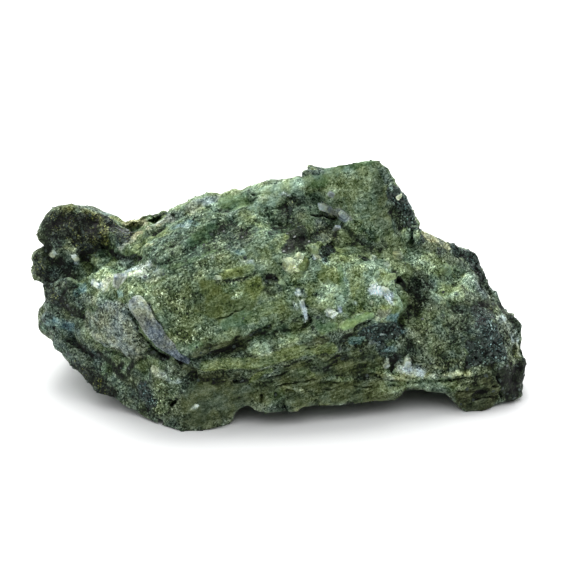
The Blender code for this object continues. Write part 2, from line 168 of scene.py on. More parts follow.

# Where each mineral shows, laid on in this order: mineral, reach, strength, how broken
# up it is from 0 to 1, and its points. Some near black and dark streaked coats are painted
# shade, laid over hollows, grooves and a hole that are filled flush.
COATS = [
    # far side and underside
    ("dark schist", 22, 0.85, 0.6, [(-30, 16, 12), (0, 24, 8), (32, 14, 10)]),
    ("olive beryl", 17, 1.0, 0.1, [(-22, -6, 22), (0, -4, 24), (20, 2, 30)]),
    ("streaked schist", 7, 0.8, 0.3, [(-10, 22, 6), (8, 24, 5), (26, 18, 8)]),
    ("brown black crust", 7, 0.7, 0.5, [(-38, 12, 20), (-26, 18, 12)]),
    ("near black schist", 5, 0.6, 0.6, [(30, 12, 20), (14, 20, 12), (-4, 20, 14)]),
    ("dull beryl", 8, 0.7, 0.3, [(-18, 4, 33), (4, 12, 36), (18, 14, 34)]),
    ("sugary beryl", 4, 0.6, 0.6, [(-14, 16, 24), (6, 18, 28), (20, 16, 24)]),
    ("pale quartz", 1.6, 0.7, 0.6, [(-10, 20, 20), (-6, 21, 17)]),
    # upper face and its top edge
    ("silky beryl", 5.7, 1, 0.1, [(-20.6, -11, 29.2), (-14.5, -7.3, 31.3), (-7.3, -4.7, 33.8), (-0.1, -2.8, 34.2)]),
    ("dull beryl", 1.7, 0.8, 0.3, [(-6.8, -4.8, 33.8), (-4.6, -4.3, 34.4), (-3.3, -5.1, 33.1)]),
    ("dull beryl", 1.7, 0.8, 0.2, [(-2.2, -10.8, 30.9), (-1.7, -12.7, 28.6)]),
    ("sugary beryl", 1.3, 0.6, 0.5, [(-3.4, -1.9, 36.2), (-1.9, -2.5, 34.8), (-3.3, -8.3, 32.5)]),
    ("green glass", 1.7, 0.95, 0, [(-10, -1.1, 35.8), (-8.5, -1.8, 35.5), (-7.4, -1.5, 36)]),
    ("lilac quartz", 1.1, 0.55, 0.3, [(-16.6, -1.4, 34.6), (-14.1, -0.3, 35.3), (-12.4, 0.1, 35.6)]),
    ("grey crust", 1.1, 0.6, 0.4, [(-20, -1, 32.3), (-17.7, -1.4, 33.2), (-15.1, -2.2, 34.1)]),
    ("sugary beryl", 0.9, 0.6, 0.6, [(-13.3, -1.7, 34.5), (-12.2, -1.4, 34.8), (-12.4, -4.4, 34.4)]),
    ("pale beryl", 1.1, 0.9, 0.2, [(-4.5, 0.6, 37.3), (-1.9, -0.4, 37.5), (0.6, -0.2, 38.3), (2.8, -0.2, 39.2)]),
    ("pale quartz", 0.6, 0.6, 0.5, [(-3.4, -1.5, 36.8), (-1.9, -1.1, 36.8), (-0.1, -1.2, 37.3)]),
    ("clear green beryl", 1.3, 0.75, 0, [(-15.6, -8.1, 30.7), (-14, -7.2, 31.3), (-12.5, -6.3, 32.3)]),
    ("yellow green beryl", 0.8, 0.75, 0.3, [(-26.6, -3.8, 27.7), (-23.8, -4.5, 29.6), (-21.4, -5.1, 30.8)]),
    ("yellow green beryl", 0.7, 0.7, 0.3, [(-28.1, -3.8, 26.6), (-26.1, -5.4, 27.2)]),
    ("cream quartz", 0.5, 0.8, 0.1, [(-24.2, -6.8, 29.3), (-23.4, -7.2, 29.7)]),
    ("pale quartz", 0.5, 0.6, 0.5, [(-18.7, -4.2, 32), (-16.8, -5.1, 32.4)]),
    ("dark schist", 0.8, 0.8, 0.3, [(-23.9, -3.3, 30.4), (-21.8, -2.5, 31.1)]),
    ("cyan crust", 0.6, 0.5, 0.5, [(-19.8, -4.3, 31.6), (-17.2, -3.8, 32.6), (-14.6, -5.6, 33)]),
    ("dark schist", 0.6, 0.7, 0.3, [(-19.4, -10.2, 29.8), (-18.4, -8.1, 30.9)]),
    ("brown black crust", 1.3, 0.55, 0.5, [(-11.6, -7.1, 31.2), (-9.5, -6.3, 32.1), (-7.3, -6.9, 31.9), (-6.2, -8.9, 31.6)]),
    ("near black schist", 0.6, 0.6, 0.4, [(-12.4, -6.6, 31.8), (-10.6, -6, 32.2)]),
    ("dark schist", 0.9, 0.7, 0.4, [(-9, -9.8, 30.5), (-7.2, -10.3, 30.7), (-6.2, -9.4, 31.5)]),
    ("cyan crust", 0.6, 0.5, 0.4, [(-7.6, -11.2, 29.9), (-6.7, -11.2, 29.9)]),
    ("pale quartz", 0.5, 0.8, 0.3, [(-7, -12.6, 28.6), (-5.6, -12.6, 28.8), (-4.7, -13, 28), (-3.8, -13.5, 27.4)]),
    ("pale quartz", 0.5, 0.6, 0.4, [(-12.4, -11.5, 29), (-10.4, -11.7, 29.1)]),
    ("dark schist", 0.4, 0.8, 0.3, [(-12.9, -12.9, 27.5), (-12.1, -14.1, 26.5)]),
    ("clear green beryl", 0.4, 0.6, 0.1, [(-21.5, -12, 27.1), (-18.8, -12, 27.5), (-15.2, -11.3, 28.8), (-11.7, -10.2, 29.8)]),
    ("yellow green beryl", 0.8, 0.6, 0.4, [(1.2, -9.6, 32.3), (0.5, -11.3, 31.1)]),
    ("dull beryl", 0.8, 0.8, 0.2, [(-0.1, -12, 30.1), (0.6, -11.8, 30.5)]),
    ("smooth pale beryl", 1.1, 0.95, 0, [(-3.4, -0.6, 37.2), (-1.5, -0.5, 37.6), (0.6, -0.6, 38), (2.8, -0.8, 38.9)]),
    ("smooth pale beryl", 0.9, 0.8, 0.1, [(-4.8, -2.6, 35.3), (-2.6, -1.9, 35.8), (-0.8, -1.5, 36)]),
    ("pale beryl", 0.6, 0.6, 0.4, [(-0.8, -1.2, 36.7), (0.6, -1.3, 36.3)]),
    # long face
    ("olive beryl", 6.1, 1, 0, [(-19.2, -17.2, 21.7), (-12.5, -16.1, 23.2), (-5.4, -15.4, 24), (0.8, -15.3, 22.4)]),
    ("speckled olive beryl", 2.5, 0.9, 0.3, [(-20.2, -15.9, 23.5), (-18.1, -15.1, 24.6), (-18.4, -17.4, 21.4)]),
    ("speckled olive beryl", 1.5, 0.9, 0.2, [(-18.4, -19.6, 17.8), (-15.9, -19.9, 17.2), (-13.1, -19.4, 18.1)]),
    ("speckled olive beryl", 1.5, 0.7, 0.4, [(-15.7, -13.1, 26.8), (-13.2, -12.6, 27.8), (-11.8, -12.2, 28.4)]),
    ("smooth olive beryl", 2.9, 0.85, 0.1, [(-13.2, -16.4, 22.9), (-10, -16.7, 22.1), (-7.1, -16.4, 22.5)]),
    ("smooth olive beryl", 1.1, 0.9, 0, [(-13.3, -15.1, 25), (-11.4, -14.9, 25.3)]),
    ("dark schist", 0.9, 0.5, 0.3, [(-14.9, -15.9, 23.4), (-13.9, -16.8, 21.9)]),
    ("green glass", 1.1, 0.75, 0, [(-9.6, -18.4, 19.1), (-7.8, -17.9, 19.7), (-6.1, -17.3, 20.4)]),
    ("yellow green beryl", 1.1, 0.6, 0.2, [(-5.4, -17.5, 19.9), (-2.6, -16.4, 21.3), (-0.1, -15.9, 21.5)]),
    ("yellow green beryl", 1.5, 0.8, 0.1, [(-5.9, -15.1, 24.6), (-4.3, -14.7, 25.2), (-5.4, -15.5, 23.7)]),
    ("yellow green beryl", 0.7, 0.9, 0.1, [(-10, -13.9, 26.8), (-7.5, -13.7, 27.3), (-5.4, -13.4, 27.8)]),
    ("sugary beryl", 1.1, 0.8, 0.4, [(-9.3, -15.1, 25), (-7.2, -15.2, 24.7), (-8.2, -15.7, 23.7)]),
    ("brown black crust", 0.4, 0.8, 0.2, [(-11.1, -14.6, 25.8), (-8.6, -14.6, 25.8), (-6.5, -14.1, 26.1)]),
    ("near black schist", 0.2, 0.8, 0.1, [(-6.6, -14.1, 26.1), (-5.4, -13.9, 27), (-4, -13.5, 27)]),
    ("cream quartz", 0.5, 0.9, 0, [(-11.4, -14.1, 26.3), (-10.7, -14.2, 26.4)]),
    ("dark schist", 1.5, 0.7, 0.5, [(-2.2, -13.8, 25.6), (-1.1, -14.7, 24)]),
    ("near black schist", 0.8, 0.9, 0.3, [(-2.2, -13.8, 26.2), (-0.6, -13.7, 26.1)]),
    ("near black schist", 0.5, 0.8, 0.3, [(-2.9, -15, 24), (-1.1, -14.8, 23.7)]),
    ("cream quartz", 0.4, 0.8, 0.2, [(0.1, -13.9, 25.2)]),
    ("sugary beryl", 0.9, 0.8, 0.3, [(1.4, -13.6, 25.1), (3.5, -13.4, 25.8), (4.6, -13.3, 26.5)]),
    ("dull beryl", 0.8, 0.7, 0.4, [(-0.4, -15, 23), (1.2, -14.5, 23.6)]),
    ("green glass", 0.8, 0.7, 0, [(-15.5, -21, 15.9), (-14.5, -20.7, 16.2)]),
    ("near black schist", 0.3, 0.5, 0.4, [(-20.8, -19.4, 19.3), (-19.1, -18.9, 19.2)]),
    # ridge, groove and ledge
    # painted shade: dark band where the long groove is filled flush
    ("dark streaked schist", 1.3, 0.75, 0.1, [(-14.2, -21.2, 14.8), (-10.4, -19.3, 15.1), (-6.5, -18.7, 15.5)]),
    ("dark streaked schist", 0.6, 0.85, 0.1, [(-15.6, -21.2, 14), (-11.5, -20.3, 15.8), (-7.2, -18.5, 16.9), (-3.3, -17.7, 17.4)]),
    ("near black schist", 0.3, 0.8, 0.1, [(-5.4, -18.2, 17.1), (-2.9, -17.4, 17.6), (-1.8, -17.2, 17.9)]),
    ("near black schist", 0.3, 0.8, 0.2, [(-1.8, -17, 18.3), (0.6, -16.7, 18.9), (2.8, -16.3, 19.1)]),
    ("brown black crust", 0.2, 0.6, 0.3, [(-1.1, -17.4, 17.2), (1.7, -16.6, 17.7)]),
    ("yellow green beryl", 1.3, 0.75, 0.1, [(-13.2, -21.3, 12.3), (-8.6, -21.1, 12.6), (-4.3, -20.6, 12.3), (-0.1, -20.4, 13.8), (4.2, -19.6, 14.6), (8.9, -17.9, 14.1)]),
    ("yellow green beryl", 0.6, 0.8, 0.1, [(-6.4, -19.4, 8), (-4.4, -19.5, 9.3), (-1.9, -19.4, 10.8)]),
    ("dull beryl", 1.5, 0.9, 0, [(-4.3, -19.7, 15.4), (-3.2, -20.3, 15.3)]),
    ("cream quartz", 0.3, 0.9, 0, [(-4, -20.5, 13.7), (-2.9, -20.5, 14.3), (-1.8, -20.4, 14.4)]),
    ("near black schist", 0.2, 1, 0, [(-3.6, -19.3, 16)]),
    ("cream quartz", 0.2, 0.9, 0, [(-2.9, -19.2, 16.2)]),
    ("sugary beryl", 0.9, 0.6, 0.3, [(-0.1, -19, 15.9), (2.1, -18.5, 16.4)]),
    ("green glass", 0.7, 0.6, 0, [(1.9, -17.9, 16.7)]),
    ("dark streaked schist", 0.7, 0.8, 0.1, [(4.9, -19.4, 15.9), (8.1, -18.6, 16.1)]),
    ("near black schist", 0.2, 0.8, 0.2, [(4.2, -19.6, 14.6), (6.3, -19, 14.9)]),
    ("streaked schist", 2.5, 1, 0.1, [(2.1, -18.5, 9.1), (7.1, -17.7, 10.3), (12.6, -15.6, 10), (16.7, -14.5, 9.4)]),
    ("streaked schist", 2.3, 1, 0.1, [(-3.3, -19.5, 6.4), (3.5, -19.5, 5.6), (10.8, -18.4, 5.4), (18.5, -17.5, 4.8)]),
    ("brown black crust", 0.4, 0.6, 0.4, [(7.4, -18.2, 13.1), (10.8, -16.2, 11.6), (13.7, -15.1, 10.2), (16.7, -14.4, 10.4)]),
    ("near black schist", 0.3, 0.85, 0.2, [(0.6, -18.9, 11), (3.1, -18.9, 12)]),
    ("near black schist", 0.3, 0.9, 0.1, [(-1.9, -19, 8.8), (-0.4, -18.8, 9.3), (1, -18.7, 9.7)]),
    ("brown black crust", 0.6, 0.6, 0.5, [(5.7, -17.9, 10.1), (9, -17, 9.1)]),
    ("near black schist", 0.5, 0.6, 0.4, [(13.4, -15.8, 7.9), (16, -15.8, 7.2)]),
    ("near black schist", 0.3, 0.7, 0.2, [(14.4, -14.7, 12), (17, -14.4, 10.6)]),
    ("yellow green beryl", 0.6, 0.7, 0.3, [(3.5, -18.3, 9.9), (5.7, -18.3, 9)]),
    ("sugary beryl", 0.5, 0.7, 0.3, [(8.6, -17.4, 7.7), (10.8, -16.9, 7.4), (12.6, -16.5, 7)]),
    ("cream quartz", 0.3, 0.7, 0.2, [(0.5, -19.1, 7), (2.1, -19, 6.4), (4.1, -18.9, 6.1)]),
    # painted shade: dark band and black pit in the lower groove, which is filled flush
    ("dark streaked schist", 1.7, 0.8, 0.3, [(-13.3, -20.4, 9), (-10.1, -20.1, 8.4), (-8.6, -20.1, 9.2)]),
    ("near black schist", 0.6, 1, 0, [(-8.1, -19.4, 8.4), (-6.5, -19.8, 8.6)]),
    ("near black schist", 0.4, 0.8, 0.2, [(-12.2, -20.4, 9.2), (-10.4, -20.2, 9.1)]),
    ("corner beryl", 2.9, 1, 0, [(-15.1, -21.7, 5.2), (-11.9, -21.1, 5.3), (-8, -20.1, 5.5), (-13.7, -21.9, 2.8)]),
    ("dull beryl", 0.4, 0.6, 0.4, [(-2.2, -21, 4.4), (-0.4, -20.8, 4.7), (0.3, -20.1, 5.5)]),
    ("cream quartz", 0.3, 0.6, 0.3, [(1.4, -20.9, 3.1), (3.2, -20.6, 3.1), (4.6, -19.6, 3.2)]),
    ("cream quartz", 0.3, 0.5, 0.3, [(7.2, -19.1, 3.1), (10.1, -19, 3.2), (11.7, -18.3, 2.8)]),
    ("yellow green beryl", 0.8, 0.6, 0.3, [(-1.2, -19.9, 5.4), (-0.1, -19.5, 6)]),
    ("pale quartz", 0.3, 0.9, 0.1, [(-15.1, -21.8, 4.6), (-15.6, -22.1, 4.2)]),
    # crown
    ("olive beryl", 4.6, 0.9, 0.1, [(11.7, -2.2, 38.6), (14.7, -4, 37.8), (16, -3.6, 32.5)]),
    ("streaked schist", 1.7, 0.8, 0.2, [(18, -2.3, 39.8), (19.2, -2.9, 36.6), (18.9, -3.6, 32.5)]),
    ("dark schist", 0.9, 0.9, 0.1, [(4.3, 0.3, 40.4), (5.8, 0.6, 41.1)]),
    ("clear green beryl", 0.6, 0.9, 0, [(7.6, 0.2, 41.4), (11.9, -0.6, 42.3), (14.4, -1.2, 42.9), (16.5, -1.3, 43.5)]),
    ("pale beryl", 0.9, 0.9, 0.1, [(3.6, -0.3, 39.1), (5.8, 0.1, 39.9), (7.9, -0.2, 40.6)]),
    ("clear green beryl", 0.8, 0.7, 0.2, [(5.4, -0.3, 38.7), (7.2, -0.5, 38.8)]),
    ("clear green beryl", 0.3, 0.8, 0, [(8.1, -0.3, 40.2), (7.8, -0.6, 38.4)]),
    ("dull beryl", 1.3, 0.7, 0.3, [(9.4, -0.8, 39.6), (11.5, -1.6, 39.6)]),
    ("dull beryl", 1.1, 0.6, 0.1, [(13.7, -1.8, 41.2), (15.5, -2.5, 41)]),
    ("cyan crust", 0.9, 0.4, 0.3, [(13.7, -4.1, 35.8), (14.1, -3.9, 33.8)]),
    ("streaked schist", 2.3, 0.45, 0.5, [(1.7, -2.1, 35.1), (3.5, -5.5, 33.3), (1, -4.7, 32.2)]),
    ("brown black crust", 1.3, 0.6, 0.5, [(2.1, -1.8, 35.7), (5.4, -1.1, 35.9)]),
    ("brown black crust", 1.9, 0.55, 0.4, [(7.6, -3.8, 31.8), (9, -6.1, 30.4), (5.7, -6.8, 30.7)]),
    ("pink crust", 1.1, 0.6, 0.4, [(7.2, -3.9, 32.2), (9.1, -3.8, 31), (7.5, -6.7, 30.7)]),
    # painted shade: near black over the hollow and slit, which are filled flush
    ("near black schist", 1.5, 0.95, 0, [(2.6, -8.7, 32.7), (3.5, -9.5, 31.5), (4.4, -10.7, 30.8)]),
    ("near black schist", 0.6, 0.7, 0.2, [(5.8, -2.9, 33.4), (7.6, -1.5, 33.2), (9.5, -1.2, 32.5)]),
    ("near black schist", 0.8, 0.7, 0.3, [(11.6, -3.5, 32.1), (13.1, -4.2, 30.8), (13.4, -5, 29.2)]),
    ("brown black crust", 0.5, 0.7, 0.2, [(9.8, -2, 36.4), (10.5, -2, 35.4)]),
    ("dark schist", 1.3, 0.75, 0.4, [(14.9, -4.3, 29.6), (16.8, -3.9, 29.9), (18.2, -5, 28.7)]),
    ("yellow green beryl", 0.6, 0.6, 0.3, [(11.8, -3.2, 32.4), (13.8, -3.9, 31.1)]),
    ("lilac quartz", 0.9, 0.9, 0.1, [(8.8, -0.5, 33.9), (10.6, -1.7, 33.9), (12, -2.7, 32.9)]),
    ("pale quartz", 0.6, 1, 0, [(7.6, -0.7, 34.3), (9.1, -0.7, 34.1)]),
    ("pale quartz", 0.4, 0.8, 0.2, [(11.5, -2, 33.7), (12.3, -3.1, 32.9)]),
    ("lilac quartz", 0.6, 0.9, 0, [(9.2, -1.7, 37.3)]),
    ("lilac quartz", 0.5, 0.9, 0, [(10.2, -3.5, 31.3)]),
    ("pale quartz", 0.3, 0.9, 0, [(10.2, -4, 30.9)]),
    ("pale quartz", 0.3, 0.8, 0.2, [(0.6, -1.2, 37.3), (1.4, -1.4, 37.1)]),
    ("dark schist", 0.9, 0.8, 0.2, [(18.4, -1.8, 41.9), (19.7, -2.2, 40.2)]),
    ("blue black mica", 1.5, 1, 0.05, [(20.6, -2, 38.2), (22.2, -2.1, 35.9), (23, -1.9, 33), (25.1, -0.8, 29.8), (26, -1.4, 28.4)]),
    ("dark schist", 1.1, 0.8, 0.2, [(19.9, -2.7, 35.7), (21.2, -1.9, 33), (21.6, -2.3, 30)]),
    ("pale quartz", 0.3, 1, 0, [(21.2, -2, 36.8), (21.8, -2.2, 37.1)]),
    ("sugary beryl", 1.1, 0.9, 0.2, [(23, -1.4, 29.6), (24.8, -1, 28.7)]),
    ("cream quartz", 0.2, 0.8, 0.2, [(22.9, -2.2, 27.7), (25.5, -1.6, 27.1), (27.7, -1.9, 26.8)]),
    ("tan crust", 0.8, 0.8, 0.2, [(26.7, -0.3, 29.1), (28.2, -0.3, 28), (30.6, 0.3, 26.7), (32.2, 0.6, 25.5)]),
    ("smooth pale beryl", 0.9, 0.9, 0, [(4.3, 0, 39.3), (6.1, 0, 39.9), (8.3, -0.2, 40.8), (10.1, -0.5, 41.3)]),
    ("dark schist", 0.8, 0.95, 0, [(4.3, 0.4, 40.7), (5.8, 0.6, 41.1), (7, 0.3, 41.2)]),
    ("green glass", 0.9, 0.8, 0, [(6.5, -0.3, 38.9), (7.6, -0.4, 39.5)]),
    ("dull beryl", 1.3, 0.75, 0.2, [(9.4, -1.7, 37.7), (11.2, -2.3, 36.3), (13, -3.5, 34.4)]),
    ("sugary beryl", 1.1, 0.7, 0.2, [(12.7, -3.4, 32.5), (14.9, -3.5, 31.3), (17.1, -4, 29.9)]),
    ("dull beryl", 1.1, 0.6, 0.3, [(13.7, -4.1, 35.8), (15.6, -3.7, 33), (17.5, -3.9, 30.7)]),
    ("pale quartz", 0.8, 1, 0, [(7.6, -0.4, 34.6), (8.7, -0.6, 34.3), (9.9, -0.8, 33.5)]),
    ("lilac quartz", 0.8, 0.95, 0, [(9.8, -1, 33.8), (11.1, -1.7, 33.5), (12.2, -2.8, 33)]),
    # painted shade: near black over the filled slit
    ("near black schist", 1.1, 0.95, 0, [(3.7, -7.3, 32.7), (2.6, -9.8, 32), (1.4, -11.6, 30.9)]),
    ("brown black crust", 1.1, 0.45, 0.4, [(1, -3, 33.8), (2.8, -4.9, 33.5), (3.6, -4, 34.7)]),
    ("smooth pale beryl", 0.6, 0.9, 0, [(8.3, -0.1, 40.9), (10.1, -0.4, 41.4), (11.9, -0.7, 41.9)]),
    ("dull beryl", 0.9, 0.8, 0.1, [(4.7, -0.6, 37.2), (6.5, 0.1, 36.2), (8.3, -1.4, 36)]),
    ("dark schist", 0.6, 1, 0, [(5.3, 12.4, 37.1), (6.2, 12.8, 37.2), (7.2, 13.8, 36.6)]),
    # middle face
    ("sugary beryl", 5.7, 0.75, 0.2, [(7.9, -12.6, 26.6), (12.4, -13.2, 24.9), (18.8, -12.3, 22.9)]),
    ("yellow green beryl", 1.5, 0.75, 0.2, [(7.9, -12.6, 26.6), (9.6, -13.2, 25.7)]),
    ("yellow green beryl", 1.5, 0.7, 0.3, [(13.5, -13, 24.8), (13.9, -14.1, 21.8), (12.4, -15, 20.6)]),
    ("yellow green beryl", 0.9, 0.6, 0.2, [(5.3, -13.9, 24.5), (5.3, -15.5, 22.5)]),
    ("yellow green beryl", 0.9, 0.6, 0.3, [(10.4, -7.7, 28.8), (11.4, -9.7, 28.1)]),
    ("pale beryl", 1.7, 0.9, 0.2, [(8.8, -14.4, 23.9), (10.2, -15, 22.6), (8.8, -15.3, 22.4)]),
    ("pale beryl", 1.1, 0.8, 0.2, [(15.3, -11.7, 26.2), (16.7, -12.4, 24.9)]),
    ("pale beryl", 1.5, 0.9, 0.1, [(19.3, -11.5, 25.3), (20.1, -11.2, 22.8), (20.9, -11.9, 21.1)]),
    ("green glass", 1.1, 0.6, 0, [(22.6, -9.2, 19.4), (21.2, -12.5, 19.4)]),
    ("cyan crust", 0.8, 0.6, 0.3, [(11.5, -12.5, 26.6), (11.7, -14.1, 23.8)]),
    ("clear green beryl", 0.5, 0.8, 0.1, [(10.6, -11.9, 27.5), (10.8, -13.3, 25.4), (11.3, -14.3, 23.5)]),
    ("dull beryl", 0.8, 0.7, 0.2, [(12.8, -10.9, 27.4), (12.4, -12.5, 26.2)]),
    ("cream quartz", 1.3, 0.95, 0, [(1.3, -13.2, 28.8), (2.1, -13.5, 28)]),
    ("cream quartz", 0.6, 0.95, 0, [(2.9, -12.7, 30), (3.5, -13, 29.5)]),
    ("yellow green beryl", 0.9, 0.95, 0, [(3.8, -13.2, 28.1), (4.4, -12.8, 28.6)]),
    ("near black schist", 0.2, 0.8, 0.1, [(2.2, -13.3, 26.9), (4, -13.3, 26.6)]),
    ("dull beryl", 0.9, 0.9, 0, [(5.5, -10.8, 30.7), (6.4, -10.8, 30.1)]),
    ("pale quartz", 0.6, 0.8, 0.4, [(5.8, -11.4, 29.4), (6.5, -11.2, 29.1)]),
    ("blue black mica", 1.1, 0.9, 0.1, [(7.6, -10.4, 29.6), (9, -7.9, 29)]),
    ("blue black mica", 0.6, 0.8, 0.1, [(7.8, -11.3, 28.4)]),
    ("brown black crust", 0.4, 0.8, 0.2, [(14, -8.7, 27.8), (15.8, -8.7, 27.4)]),
    ("brown black crust", 0.8, 0.7, 0.4, [(15.2, -6.6, 28.3), (16.7, -5.7, 27.9)]),
    ("cream quartz", 0.6, 0.8, 0, [(16.8, -7.8, 27.4)]),
    ("cream quartz", 0.9, 0.95, 0, [(21, -5.4, 26.7), (21.6, -5.1, 26.4)]),
    ("cream quartz", 0.7, 0.7, 0.1, [(19.1, -8.6, 26.2)]),
    ("near black schist", 0.6, 0.95, 0, [(20.4, -9, 25), (21.4, -6.4, 22.6), (22.3, -7.3, 22)]),
    ("cream quartz", 0.3, 0.8, 0.1, [(17.3, -11.3, 26.4), (16.6, -12.7, 24.5)]),
    ("yellow green beryl", 0.4, 0.7, 0.1, [(18.2, -11.3, 26), (17.5, -12.4, 24.6)]),
    ("pale quartz", 0.9, 1, 0, [(16.7, -13.1, 23.5), (18.6, -12.4, 22.8), (19.7, -12.3, 21.5)]),
    ("pale quartz", 0.6, 0.7, 0.3, [(19.7, -12.7, 21.1), (20, -13.7, 20.4)]),
    ("yellow green beryl", 0.8, 0.85, 0.1, [(18.5, -14.7, 20.5), (20.9, -12.6, 19.1)]),
    ("pale quartz", 0.7, 1, 0, [(8.7, -15.9, 20.3), (9.4, -16.2, 20)]),
    ("lilac quartz", 0.6, 0.9, 0.1, [(10.6, -15.7, 20.6)]),
    ("dark schist", 0.9, 0.8, 0.3, [(6, -16.3, 20.5), (7, -16.5, 19.4)]),
    ("dark schist", 0.4, 0.7, 0.2, [(5.8, -14.8, 23.3), (7.4, -14.9, 23.3)]),
    ("pale quartz", 0.4, 0.95, 0.1, [(3.1, -14.1, 24), (3.1, -15, 23)]),
    ("dark schist", 0.4, 0.8, 0.1, [(3.8, -14.2, 23.8), (4, -15.1, 22.9)]),
    ("pale quartz", 0.5, 1, 0, [(3.8, -15.6, 22.1), (4.2, -16.2, 20.8), (4.4, -15.5, 18.9)]),
    ("pale quartz", 0.4, 0.7, 0.4, [(2.4, -15.5, 22.1), (2.8, -16, 21.2)]),
    ("near black schist", 0.4, 0.6, 0.2, [(4.9, -16, 21.6), (5.3, -15.2, 18.8), (5.8, -17.4, 17.9)]),
    ("cream quartz", 0.3, 0.9, 0, [(16.2, -13.8, 21.3)]),
    ("cream quartz", 0.3, 0.9, 0, [(17.8, -14.2, 20.9)]),
    ("pale quartz", 0.3, 0.8, 0.1, [(13.5, -14.2, 21.7)]),
    ("bright green beryl", 0.9, 1, 0, [(11.3, -17.3, 18), (13.4, -16.9, 19.2), (15.6, -15.8, 19.7)]),
    ("bright green beryl", 0.8, 0.7, 0.1, [(7.4, -17.5, 17.7), (9.5, -17.3, 18.2)]),
    ("clear green beryl", 0.6, 0.6, 0.1, [(6.7, -16.8, 18.8), (7, -17.2, 18.2)]),
    ("pink crust", 0.8, 0.8, 0.1, [(17.8, -15.6, 19.5), (19.3, -14.6, 19.5)]),
    ("cream quartz", 0.3, 0.9, 0, [(17.1, -15.7, 19)]),
    ("sugary beryl", 1.1, 0.75, 0.2, [(0.1, -13.5, 26.5), (1.7, -13.9, 24.5), (1, -15.1, 22.7)]),
    ("dull beryl", 0.9, 0.7, 0.2, [(2.8, -13.3, 26.1), (4.2, -13.2, 26.9), (5.6, -13.3, 26.1)]),
    # painted shade: black inside the round hole, which is filled flush
    ("near black schist", 0.9, 0.95, 0, [(23.5, -7, 20.8), (25, -6.9, 20.4), (26, -7.7, 20)]),
    ("near black schist", 0.9, 0.9, 0, [(25.7, -7.6, 19.5), (25.8, -9.2, 18.2)]),
    ("near black schist", 0.6, 0.9, 0, [(20.1, -10.3, 24.8), (21.8, -6.9, 22.2), (22.7, -7.5, 21.4)]),
    # dark patch
    ("blue black mica", 2.3, 1, 0.05, [(16.2, -14.4, 15.9), (18.8, -13, 15.2), (20.6, -13, 14.4)]),
    ("blue black mica", 1.7, 0.9, 0.2, [(22.4, -13.6, 13.9), (23.9, -13.8, 13.2)]),
    ("blue black mica", 1.5, 0.9, 0.2, [(18.8, -14.8, 12.1), (21, -14.4, 10.6)]),
    ("cyan crust", 0.8, 1, 0, [(19.5, -14, 18.4), (21, -12.2, 17.2)]),
    ("cyan crust", 0.9, 1, 0.1, [(12.9, -15, 14.2), (14.4, -14.5, 14)]),
    ("lilac quartz", 0.4, 0.6, 0.3, [(16.3, -14.1, 13.3), (17.7, -14.4, 13.3)]),
    ("cyan crust", 0.6, 0.6, 0.3, [(22.5, -12.6, 15), (23.9, -12.8, 15.5)]),
    ("cyan crust", 0.7, 0.7, 0.3, [(19.2, -14.7, 12), (20.2, -14.7, 12.4)]),
    ("olive beryl", 0.6, 0.7, 0.4, [(19.2, -14.1, 13.5), (21, -14.2, 13)]),
    ("cream quartz", 0.2, 0.9, 0, [(18.3, -14.6, 17.6), (17.8, -15.2, 18.6)]),
    ("pale quartz", 0.2, 1, 0, [(18.3, -13.3, 14.7)]),
    # painted shade: dark inside the filled round hole
    ("near black schist", 0.8, 0.9, 0.1, [(24.4, -6.8, 20.5), (25.8, -7.4, 20.4)]),
    ("near black schist", 0.4, 0.9, 0.1, [(26.2, -7.9, 20), (26.1, -9.5, 18.3)]),
    ("corner beryl", 0.9, 0.9, 0, [(23.9, -8.5, 19.1), (24.1, -9, 17.5)]),
    ("near black schist", 0.8, 0.6, 0.3, [(23.3, -10.3, 16.7), (24.8, -10, 17)]),
    ("cream quartz", 0.2, 0.8, 0, [(23.5, -9.3, 18.5)]),
    # shoulder and right end
    ("grey green schist", 6.5, 0.95, 0, [(29.6, -3.5, 23.3), (31.1, -9.3, 17.5), (28.3, -13.5, 12.4)]),
    ("sugary beryl", 2.3, 0.7, 0.4, [(24.3, -3.7, 25.8), (27.6, -4.1, 24.7), (31.9, -4, 20.2)]),
    ("olive beryl", 1.7, 0.6, 0.4, [(22.6, -11, 16.3), (26.1, -11.6, 16.9)]),
    ("olive beryl", 2.1, 0.6, 0.5, [(29.1, -11.2, 16.8), (28.3, -13.6, 12.6), (31, -12.9, 10.7)]),
    ("pale beryl", 1.3, 0.7, 0.3, [(30.3, -5.7, 19.8), (31.2, -7.7, 19.1)]),
    ("tan crust", 0.8, 0.6, 0.3, [(33.5, -2.1, 21.8), (35.2, -4.3, 21.6), (35.9, -4.6, 20.5)]),
    ("cyan crust", 0.9, 0.4, 0.5, [(28.8, -5.3, 21.2), (27.6, -5.3, 22.4)]),
    ("cream quartz", 0.3, 0.8, 0.2, [(24.8, -6.2, 24.5), (26.4, -5.7, 24.1)]),
    ("near black schist", 0.2, 0.8, 0.1, [(29, -4.5, 22.1), (30.1, -4.5, 21.1), (31.6, -3.3, 21.5)]),
    ("blue black mica", 0.8, 0.8, 0.4, [(29.2, -2.3, 25.6), (30.1, -1, 25.8)]),
    ("dark schist", 0.6, 0.6, 0.2, [(27.7, -3.4, 25.2), (27.6, -4.3, 24.5)]),
    ("blue black mica", 1.3, 1, 0.1, [(33, 1.2, 25.3), (35, 1.4, 24.4), (36.9, 0.9, 22.5), (37.8, -1.2, 21)]),
    ("pale quartz", 0.2, 0.8, 0.2, [(31.7, 0.1, 25.5), (32.6, -1, 24.4)]),
    ("dark schist", 1.7, 0.6, 0.4, [(33.3, -9.1, 16.9), (32.1, -11.3, 14.4)]),
    ("blue black mica", 2.5, 0.9, 0.15, [(37.4, -9.1, 16.1), (38.1, -11.4, 12.8), (39.7, -11, 10.9)]),
